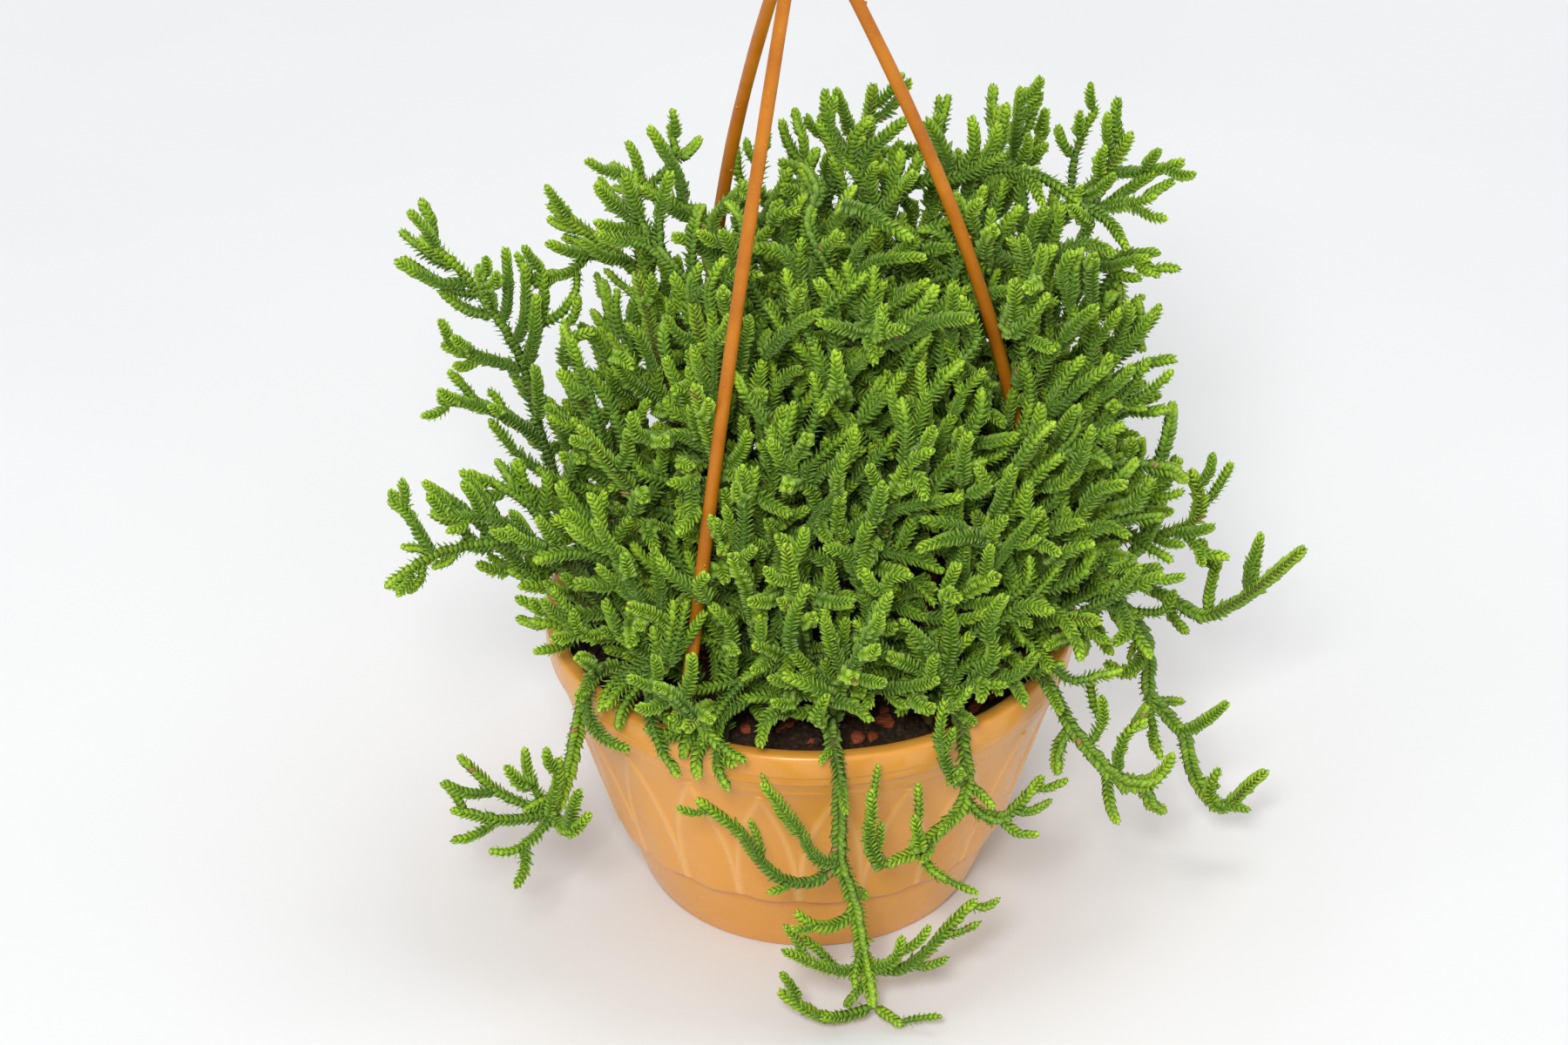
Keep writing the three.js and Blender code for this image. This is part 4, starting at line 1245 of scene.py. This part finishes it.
def leafy_shoot(random, points, girth, first_leaf, youngest, ageing, oldest=OLDEST_LEAF, bare=0.0):
    """A shoot with its leaves: vertices, triangles and the leaf map's corners.

    girth scales its thickness and first_leaf is where its leaves start. The leaf colour goes
    from youngest at the tip towards oldest, over the distance ageing. bare is the share of
    leaves that the shoot's lowest stretch has lost."""
    rough, _ = resampled(points, WOBBLE_STEP)
    if len(rough) > 2:
        rough[1:-1] += random.normal(0, WOBBLE, (len(rough) - 2, 3))
    line, at = resampled(rough, NODE_GAP)
    along, normals, across = frames(line)
    left = at[-1] - at
    core = CORE_RADIUS * girth * np.clip(0.25 + left / 5, 0.25, 1.0)
    if bare:
        core = core * np.clip(1 + 0.5 * (1 - at / THICK_STRETCH), 1, 1.5)
    step = 3 if len(line) > 6 else 1
    stem, stem_faces = tube_mesh(line[::step], core[::step], STEM_SIDES)
    cell = STEM_CELL if bare else 0
    u = (cell + 0.1 + 0.8 * random.uniform(0, 1, len(stem))) / LEAF_CELLS
    stem_map = np.stack([u, np.full(len(stem), STEM_SHADE)], -1)
    nodes = np.where((at >= first_leaf) & (left >= BARE_TIP))[0]
    if not len(nodes):
        return stem, stem_faces, stem_map

    # Two leaves face each other at a node, across those of the node before.
    first_turn = random.uniform(0, math.pi / 2)
    node_turn = first_turn + (nodes % 2) * math.pi / 2 + NODE_TWIST * at[nodes] * girth
    index = np.repeat(nodes, 2)
    turn = np.repeat(node_turn, 2) + np.tile([0, math.pi], len(nodes))
    turn += random.normal(0, TURN_JITTER, len(turn))
    lost = bare * np.clip(1 - at[index] / BARE_STRETCH, 0, 1)
    keep = random.uniform(0, 1, len(index)) > lost
    index, turn = index[keep], turn[keep]
    count = len(index)
    left = left[index]
    near_tip = np.clip(left / TIP_CLOSES, 0, 1)
    youth = oldest + (1 - oldest) * (youngest * np.exp(-left / ageing))
    youth = np.clip(youth + random.normal(0, YOUTH_JITTER, count), 0.02, 0.98)
    open_out = np.interp(left, LEAVES_OPEN, (0, 1))
    scale = girth * (0.5 + 0.5 * near_tip ** 0.7) * random.uniform(0.9, 1.1, count)
    size = LEAF_LENGTH * scale * (1 - 0.2 * open_out)
    flare = random.normal(0.0, FLARE_JITTER, count) * open_out - TIP_FOLD * (1 - near_tip)
    shape = LEAF_OLD[None] + (LEAF_YOUNG - LEAF_OLD)[None] * (1 - open_out)[:, None, None]
    share = shape[:, :, 3]
    go_along = shape[:, :, 0] * size[:, None]
    go_out = shape[:, :, 1] * scale[:, None] + flare[:, None] * share ** 1.5
    go_side = shape[:, :, 2] * scale[:, None]
    cosine, sine = np.cos(turn)[:, None], np.sin(turn)[:, None]
    out = normals[index] * cosine + across[index] * sine
    side = across[index] * cosine - normals[index] * sine
    leaves = line[index][:, None, :]
    for way, reach in ((along[index], go_along), (out, go_out), (side, go_side)):
        leaves = leaves + way[:, None, :] * reach[:, :, None]
    cell = random.integers(0, DRY_CELL, count)
    dry = random.uniform(0, 1, count) < np.where(left > DRY_FROM, *reversed(DRY_SHARES))
    cell = np.where(dry, DRY_CELL, cell)
    u = (cell[:, None] + 0.04 + 0.9 * share) / LEAF_CELLS
    leaf_map = np.stack([u, np.broadcast_to(youth[:, None], u.shape)], -1)
    firsts = len(stem) + LEAF_CORNERS * np.arange(count)
    leaf_faces = LEAF_FACES[None] + firsts[:, None, None]
    return (np.vstack([stem, leaves.reshape(-1, 3)]),
            np.vstack([stem_faces, leaf_faces.reshape(-1, 3)]),
            np.vstack([stem_map, leaf_map.reshape(-1, 2)]))


# How far apart the extra side twigs stand on a named stem. The stems that hang out of the
# pot carry few, and the ones in the crown carry more.
TWIG_GAPS = {
    "stem_front_trail": 17, "stem_front_right_trail": 14, "stem_left_spray": 20,
    "stem_right_trail": 26, "stem_right_low": 26, "stem_far_right": 36, "stem_right_fork": 18,
    "stem_tall_right": 12, "stem_right_upper": 12, "stem_top_right": 11,
    "stem_top_centre": 11, "stem_top_left_high": 11, "stem_top_left": 10,
    "stem_left_tall": 9, "stem_left_arm": 7, "stem_left_low": 9, "stem_front_crown": 12,
}
HANGING_STEMS = {"stem_front_trail", "stem_front_right_trail", "stem_left_spray",
                 "stem_right_trail", "stem_right_low", "stem_far_right", "stem_right_fork"}
SHORT_TWIGS = {"stem_front_trail", "stem_front_right_trail", "stem_right_trail"}
DOME_TWIG_GAP = 16.0
TWIG_SPACING = -1.2
TWIG_RADIUS = 2.1
TWIG_BOX_MARGIN = 2.5
# The stretch of its parent, in shares of its length, that side twigs grow on.
STEM_TWIGS_FROM = 0.3
DOME_TWIGS_FROM = 0.34
SHOOT_TWIGS_FROM = 0.25
TWIGS_TO = 0.97
SHOOT_TWIG_SCALE = 0.75
TWIG_REACH = (15, 34)
SHORT_TWIG_REACH = (10, 21)
TWIG_TRIES = 7


def in_model_box(points, margin):
    """True if all the points lie inside the CAD model's box, by a margin."""
    low, high = [np.array(corner) / MM for corner in CAD_BOX]
    return bool(((points > low + margin) & (points < high - margin)).all())


def grow_twigs(random, room, name, route, shoots, gap):
    """Extra side twigs on a stem and its shoots, where there is room for them."""
    twigs = []
    first = STEM_TWIGS_FROM if name in TWIG_GAPS else DOME_TWIGS_FROM
    parents = [(route, first, 1.0)]
    parents += [(shoot, SHOOT_TWIGS_FROM, SHOOT_TWIG_SCALE) for shoot in shoots]
    for parent, start, scale in parents:
        length = resampled(parent, 4)[1][-1]
        count = int(length * (1 - start) / gap + random.uniform(0, 1))
        for i in range(count):
            share = start + (TWIGS_TO - start) * (i + random.uniform(0.2, 0.8)) / count
            reach = random.uniform(*TWIG_REACH) * scale
            reach = min(reach, 10 + 0.7 * (1 - share) * length)
            if name in SHORT_TWIGS:
                reach = random.uniform(*SHORT_TWIG_REACH)
            for attempt in range(TWIG_TRIES):
                turn = random.uniform(0, 360)
                twig = side_shoot(parent, share, turn, reach * (1 - 0.08 * attempt))
                if not in_model_box(np.array(twig[-1]), TWIG_BOX_MARGIN):
                    continue
                if room.is_clear(name, twig[1:], TWIG_RADIUS, TWIG_SPACING):
                    room.keep(f"{name}_twig", twig[1:], TWIG_RADIUS)
                    twigs.append(twig)
                    break
    return twigs


# The crown's outer surface: how far it reaches from its middle each way, how its middle moves
# with height, and its height above the rim. Twigs grow to points between its heart and its
# surface, fewer and fewer towards the surface.
CROWN_FRONT, CROWN_SIDE, CROWN_BACK = 104, 121, 112
CROWN_MIDDLE = 9
CROWN_LEAN = 26
CROWN_RISE = 182
CROWN_HEART = 0.55
CROWN_FRINGE = 0.88
CROWN_OUTERMOST = 1.07
CROWN_POINTS = 7600
CROWN_GAP = 6.6
CROWN_TWIG = (11.0, 50.0)
USUAL_TWIG = (15.0, 38.0)
CROWN_TWIG_GAP = 4.6
CROWN_BOX_MARGIN = 2.8
CROWN_TRIES = 5
CROWN_SEED = 77
# A twig may be close to others this near to its start, where it leaves its parent.
FREE_AFTER = 6.0
OTHERS_AFTER = 6.5
# Twigs grow from a line no nearer than this to its root, on a stem and on a shoot.
STEM_CROWN_FROM = 24
SHOOT_CROWN_FROM = 6
LEG_SIGHT = 2.4
# Steps that spread points evenly over three ranges.
EVEN_STEPS = (0.8191725134, 0.6710436067, 0.5497004779)
# Down to this height above the rim, no twig grows in front of the leg, as seen from the camera.
LEGS_SHOW_ABOVE = {"hanger_leg_front_left": 72, "hanger_leg_right": 98}
# Where the rim and the soil stay in sight: azimuth from and to, the height above the rim up to
# which the crown keeps clear and the distance from the pot's axis past which it does.
RIM_SHOWS = (-8, 46, 14, 86)
SOIL_SHOWS = (-76, -40, 26, 58)
# Places outside the rim where shoots drape over it: azimuth from and to, and how far out and
# how high above the rim.
DRAPE_TURNS = (-52, -9)
DRAPE_OUT = (4, 13)
DRAPE_RISE = (-9, 10)
DRAPE_POINTS = 160
DRAPE_DEPTH = 0.9

# Sprays of long shoots that stand out before the crown, as the camera sees them: where each
# one branches (to the right of the pot's axis, towards the front and above the rim), its lean
# to the right in degrees, how far it spreads and how many shoots it has.
SPRAYS = [
    (-24, 90, 46, -4, 120, 8), (-46, 82, 58, -12, 100, 6), (-42, 62, 104, 8, 110, 6),
    (-8, 70, 100, 10, 90, 6), (20, 40, 148, 4, 90, 6), (56, 66, 92, -6, 100, 7),
    (70, 74, 48, 14, 90, 7), (22, 92, 50, 10, 100, 6), (-52, 84, 28, -24, 120, 6),
    (4, 20, 166, -6, 90, 6), (-50, 20, 132, -20, 90, 5), (86, 44, 88, 28, 90, 6),
    (36, 84, 78, -14, 100, 6), (-78, 48, 62, -34, 100, 6), (-2, 94, 24, -30, 130, 6),
    (48, 84, 26, 24, 120, 6), (-53, 86, 28, 12, 90, 6), (-50, 85, 42, -12, 80, 6),
    (-46, 80, 60, 10, 70, 6), (-100, 26, 56, -62, 100, 6), (-104, 12, 84, -48, 100, 6),
    (-92, 30, 34, -70, 80, 5), (-84, 2, 112, -40, 90, 5), (-60, -24, 146, -44, 90, 5),
    (104, 22, 70, 52, 90, 6), (96, 10, 118, 40, 90, 5), (88, 62, 22, 40, 110, 6),
    (10, -34, 176, 0, 80, 5), (60, -30, 170, 26, 80, 5),
]
SPRAY_LENGTH = (19.0, 32.0)
SPRAY_STALK = 80.0
SPRAY_STALK_GAP = 4.0
SPRAY_NODES = 13.0
SPRAY_TRIES = 6


def crown_point(azimuth, rise_share, depth):
    """A point of the crown: at depth 1 on its surface, at depth 0 in its heart."""
    angle = math.radians(azimuth)
    x, y = math.sin(angle), -math.cos(angle)
    deep = CROWN_BACK if y > 0 else CROWN_FRONT
    widest = 1 / math.hypot(x / CROWN_SIDE, y / deep)
    reach = widest * math.sqrt(1 - rise_share ** 2.4)
    point = around(azimuth, reach * depth, POT_HEIGHT + CROWN_RISE * rise_share * depth)
    point[0] += CROWN_MIDDLE + CROWN_LEAN * rise_share
    return point


def wanted_crown_points():
    """Points all through the crown's outer part, evenly spread, the innermost first."""
    wanted = []
    for k in range(CROWN_POINTS):
        turn, rise, depth = [(0.5 + k * step) % 1.0 for step in EVEN_STEPS]
        depth = CROWN_HEART + (CROWN_OUTERMOST - CROWN_HEART) * depth ** 0.75
        if depth > CROWN_FRINGE and k % 3:
            continue
        azimuth = 360 * turn - 180
        point = crown_point(azimuth, 0.02 + 0.97 * rise, depth)
        reach, above = math.hypot(point[0], point[1]), point[2] - POT_HEIGHT
        azimuth = math.degrees(math.atan2(point[0], -point[1]))
        if not any(low < azimuth < high and above < clear and reach > past
                   for low, high, clear, past in (RIM_SHOWS, SOIL_SHOWS)):
            wanted.append((depth, k, point))
    for k in range(DRAPE_POINTS):
        shares = [(0.5 + k * step) % 1.0 for step in EVEN_STEPS]
        azimuth, out, rise = [low + (high - low) * share for share, (low, high)
                              in zip(shares, (DRAPE_TURNS, DRAPE_OUT, DRAPE_RISE))]
        wanted.append((DRAPE_DEPTH, k, around(azimuth, RIM_RADIUS + out, POT_HEIGHT + rise)))
    wanted.sort(key=lambda entry: entry[:2])
    return [(depth, point) for depth, _, point in wanted]


def shown_leg_points():
    """The parts of the legs that the camera sees."""
    points = []
    for name, lowest in LEGS_SHOW_ABOVE.items():
        line, _ = resampled(leg_route(*LEGS[name]), 3)
        points.append(line[line[:, 2] > POT_HEIGHT + lowest])
    return np.vstack(points)


def hides_leg(line, leg_points):
    """True if a twig along this line would stand before a leg, as seen from the camera."""
    to_leg = leg_points - CAMERA_PLACE
    leg_away = np.linalg.norm(to_leg, axis=1)
    to_leg = to_leg / leg_away[:, None]
    to_twig = line - CAMERA_PLACE
    along = to_twig @ to_leg.T
    off = np.linalg.norm(to_twig[:, None, :] - along[:, :, None] * to_leg[None], axis=2)
    return bool(((off < LEG_RADIUS + LEG_SIGHT) & (along < leg_away[None] + 1)).any())


def has_room(twig, taken):
    """The part of a twig past its start, if it clears the pot, the box and the points taken."""
    line = sampled(twig)
    free = line[np.linalg.norm(line - twig[0], axis=1) > FREE_AFTER]
    others = taken[np.linalg.norm(taken - twig[0], axis=1) > OTHERS_AFTER]
    apart = np.linalg.norm(free[:, None, :] - others[None], axis=2)
    if apart.min(initial=np.inf) <= CROWN_TWIG_GAP or not in_model_box(free, CROWN_BOX_MARGIN):
        return None
    return free if all(misses_pot(point, TWIG_RADIUS) for point in free) else None


class Lines:
    """The lines that twigs can grow from: points, their directions and their stem's name."""

    def __init__(self):
        self.points = np.zeros((0, 3))
        self.directions = np.zeros((0, 3))
        self.owners = np.zeros(0, dtype=object)

    def add(self, owner, route, first=0.0):
        line, at = resampled(route, 3)
        direction = frames(line)[0]
        keep = at >= first
        self.points = np.vstack([self.points, line[keep]])
        self.directions = np.vstack([self.directions, direction[keep]])
        self.owners = np.concatenate([self.owners, np.full(keep.sum(), owner, dtype=object)])


def twig_to(random, lines, room, leg_points, target, longest=CROWN_TWIG[1], gap=CROWN_GAP):
    """The twig that grows to a point from the best placed line, and its stem. Without a stem
    the point is crowded, or the twig is None and the point can be tried again later."""
    away = np.linalg.norm(room.points - target, axis=1)
    if away.min() < gap:
        return "crowded", None
    near = room.points[away < longest + 8]
    reach = target - lines.points
    length = np.linalg.norm(reach, axis=1)
    ahead = (reach * lines.directions).sum(axis=1) / length
    usable = (length > CROWN_TWIG[0]) & (length < longest) & (ahead > 0.35)
    usable &= lines.points[:, 2] > POT_HEIGHT + 3
    if not usable.any():
        return None, None
    outwards = unit(target - [CROWN_MIDDLE, 0, POT_HEIGHT])
    wanted = unit(outwards + 0.85 * unit(random.normal(0, 1, 3)))
    straight = (reach @ wanted) / length
    usual = random.uniform(*USUAL_TWIG)
    cost = (10 + np.abs(length - usual)) * (1.6 - ahead) * (1.7 - straight)
    cost = np.where(usable, cost, np.inf)
    for best in np.argsort(cost)[:CROWN_TRIES]:
        if not usable[best]:
            break
        start, direction, size = lines.points[best], lines.directions[best], length[best]
        bend = start + direction * 0.28 * size + reach[best] * 0.32
        bend = bend + random.normal(0, 0.05 * size, 3)
        twig = [start, bend, target]
        free = has_room(twig, near)
        if free is not None and not hides_leg(free, leg_points):
            return twig, lines.owners[best]
    return None, None


def grow_spray(random, lines, room, leg_points, spray):
    """The stalk and the shoots of a spray, and the stem that they grow on."""
    right, front, above, lean, spread_angle, count = spray
    base = np.array([right, -front, POT_HEIGHT + above], float)
    stalk, owner = twig_to(random, lines, room, leg_points, base, SPRAY_STALK, SPRAY_STALK_GAP)
    if owner is None:
        return [], None
    upwards = np.array([0, math.sin(CAMERA_ELEVATION), math.cos(CAMERA_ELEVATION)])
    forwards = np.array([0, -math.cos(CAMERA_ELEVATION), math.sin(CAMERA_ELEVATION)])
    end = unit(base - np.asarray(stalk[1]))
    shoots = [stalk]
    for i in range(count):
        turn = lean + spread_angle * (i / (count - 1) - 0.5) + random.normal(0, 5)
        turn = math.radians(turn)
        way = np.array([math.sin(turn), 0, 0]) + upwards * math.cos(turn)
        way = unit(way + forwards * random.uniform(0.15, 0.6))
        start = base - end * SPRAY_NODES * abs(2 * i / (count - 1) - 1)
        for size in np.linspace(1.0, 0.5, SPRAY_TRIES) * random.uniform(*SPRAY_LENGTH):
            bend = start + end * 0.18 * size + way * 0.3 * size
            shoot = [start, bend, start + way * size]
            if has_room(shoot, room.points) is not None:
                shoots.append(shoot)
                break
    return shoots, owner


def fill_crown(room, stems):
    """Twigs that fill the crown, listed by the stem that they grow on, each with its depth."""
    random = np.random.default_rng(CROWN_SEED)
    lines = Lines()
    for name, (route, shoots) in stems.items():
        lines.add(name, route, STEM_CROWN_FROM)
        for shoot in shoots:
            lines.add(name, shoot, SHOOT_CROWN_FROM)
    leg_points = shown_leg_points()
    filled = {name: [] for name in stems}

    def settle(owner, twig, depth):
        room.keep(f"{owner}_crown", twig[1:], TWIG_RADIUS)
        lines.add(owner, twig, SHOOT_CROWN_FROM)
        filled[owner].append((depth, twig))

    for spray in SPRAYS:
        shoots, owner = grow_spray(random, lines, room, leg_points, spray)
        for shoot in shoots:
            settle(owner, shoot, 1.0)
    wanted = wanted_crown_points()
    for _ in range(2):
        missed = []
        for depth, target in wanted:
            twig, owner = twig_to(random, lines, room, leg_points, target)
            if owner is not None:
                settle(owner, twig, depth)
            elif twig is None:
                missed.append((depth, target))
        wanted = missed
    return filled


# How each kind of shoot looks: the range of its girth, where its leaves start, the range of
# how young the leaves at its tip are and the distance over which they age.
SHOOT_LOOK = ((0.82, 0.92), 1.6, (0.85, 1.0), 24.0)
TWIG_LOOK = ((0.88, 1.02), 1.4, (0.8, 1.0), 22.0)
CROWN_LOOK = ((0.82, 1.0), 1.4, (0.8, 1.05), 20.0)
TWIG_SLIMNESS = 0.9
SHORT_TWIG_SLIMNESS = 0.76
FIRST_STEM_SEED = 100


def shoot_like(random, look, points, slim=1.0, youth_and_shade=1.0, oldest=OLDEST_LEAF):
    girths, first_leaf, youths, ageing = look
    girth = slim * random.uniform(*girths)
    youngest = youth_and_shade * random.uniform(*youths)
    return leafy_shoot(random, points, girth, first_leaf, youngest, ageing, oldest)


def build_foliage():
    room, stems = lay_out_stems()
    filled = fill_crown(room, stems)
    paint = foliage_paint()
    for number, (name, (route, shoots)) in enumerate(stems.items()):
        random = np.random.default_rng(FIRST_STEM_SEED + number)
        twigs = grow_twigs(random, room, name, route, shoots, TWIG_GAPS.get(name, DOME_TWIG_GAP))
        root = np.array(route[0]) - [0, 0, ROOT_DEPTH]
        # Painted light: the hanging stems keep lighter old leaves, and every main stem stays bright
        # over a long stretch from its tip.
        oldest = OLDEST_HANGING_LEAF_PAINTED_LIGHT if name in HANGING_STEMS else OLDEST_LEAF
        grown = [leafy_shoot(random, [root] + list(route), 1.0, 9.0, 0.9, 50.0, oldest, bare=0.7)]
        grown += [shoot_like(random, SHOOT_LOOK, shoot, oldest=oldest) for shoot in shoots]
        slim = SHORT_TWIG_SLIMNESS if name in SHORT_TWIGS else TWIG_SLIMNESS
        grown += [shoot_like(random, TWIG_LOOK, twig, slim) for twig in twigs]
        for depth, twig in filled[name]:
            # Twigs deeper in the crown get older, darker leaves at their tips: older growth, and
            # painted shade for the crown's inside.
            youth_and_shade = min(1.0, 0.6 + 0.5 * (depth - CROWN_HEART) / (1 - CROWN_HEART))
            grown.append(shoot_like(random, CROWN_LOOK, twig, 1.0, youth_and_shade))
        vertices, triangles = joined([(v, t) for v, t, _ in grown])
        corners = np.vstack([uv for _, _, uv in grown])
        made = new_mesh_object(name.replace("stem", "foliage"), vertices, triangles)
        layer = made.data.uv_layers.new(name="OFBake")
        layer.data.foreach_set("uv", corners[triangles.ravel()].astype(np.float32).ravel())
        dress(made, paint, "foliage", name)


# ---- Studio ----

# Each light's place in metres, its size and its power.
LIGHTS = {"key_light": ((-0.32, -2.75, 2.5), 0.8, 92), "top_light": ((0.4, 0.3, 2.6), 1.2, 16)}
LIT_POINT = Vector((0, 0, 0.12))
WORLD_STRENGTH = 0.78


def placed(name, data, place, way):
    """A light or camera in the scene, at a place and looking a way."""
    made = in_scene(name, data)
    made.location = place
    made.rotation_euler = way.to_track_quat("-Z", "Y").to_euler()
    return made


def build_studio():
    bpy.ops.mesh.primitive_grid_add(x_subdivisions=2, y_subdivisions=2, size=9)
    floor = bpy.context.object
    floor.name = "floor"
    paint = Paint("floor_paint", 0.7, 0.3)
    cloud = paint.noise(3, 3)
    colour = paint.ramp(cloud, [(0.3, (214, 215, 216)), (0.7, (218, 219, 220))])
    floor.data.materials.append(paint.finish(colour))

    world = bpy.data.worlds.new("studio")
    world.use_nodes = True
    background = world.node_tree.nodes["Background"]
    background.inputs["Color"].default_value = (1.0, 1.0, 1.0, 1)
    background.inputs["Strength"].default_value = WORLD_STRENGTH
    bpy.context.scene.world = world
    for name, (place, size, power) in LIGHTS.items():
        light = bpy.data.lights.new(name, "AREA")
        light.shape = "DISK"
        light.size = size
        light.energy = power
        placed(name, light, place, LIT_POINT - Vector(place))


def build_camera():
    camera = bpy.data.cameras.new("camera")
    camera.lens = CAMERA_LENS
    camera.sensor_width = 36
    camera.clip_end = 50
    way = Vector((math.sin(CAMERA_YAW) * math.cos(CAMERA_PITCH),
                  math.cos(CAMERA_YAW) * math.cos(CAMERA_PITCH), -math.sin(CAMERA_PITCH)))
    bpy.context.scene.camera = placed("camera", camera, Vector(CAMERA_PLACE) * MM, way)


build_camera()
build_studio()
bpy.context.scene.view_settings.view_transform = "Standard"
build_pot()
build_soil()
build_bark()
hanger = hanger_paint()
build_legs(hanger)
build_hook(hanger)
build_foliage()
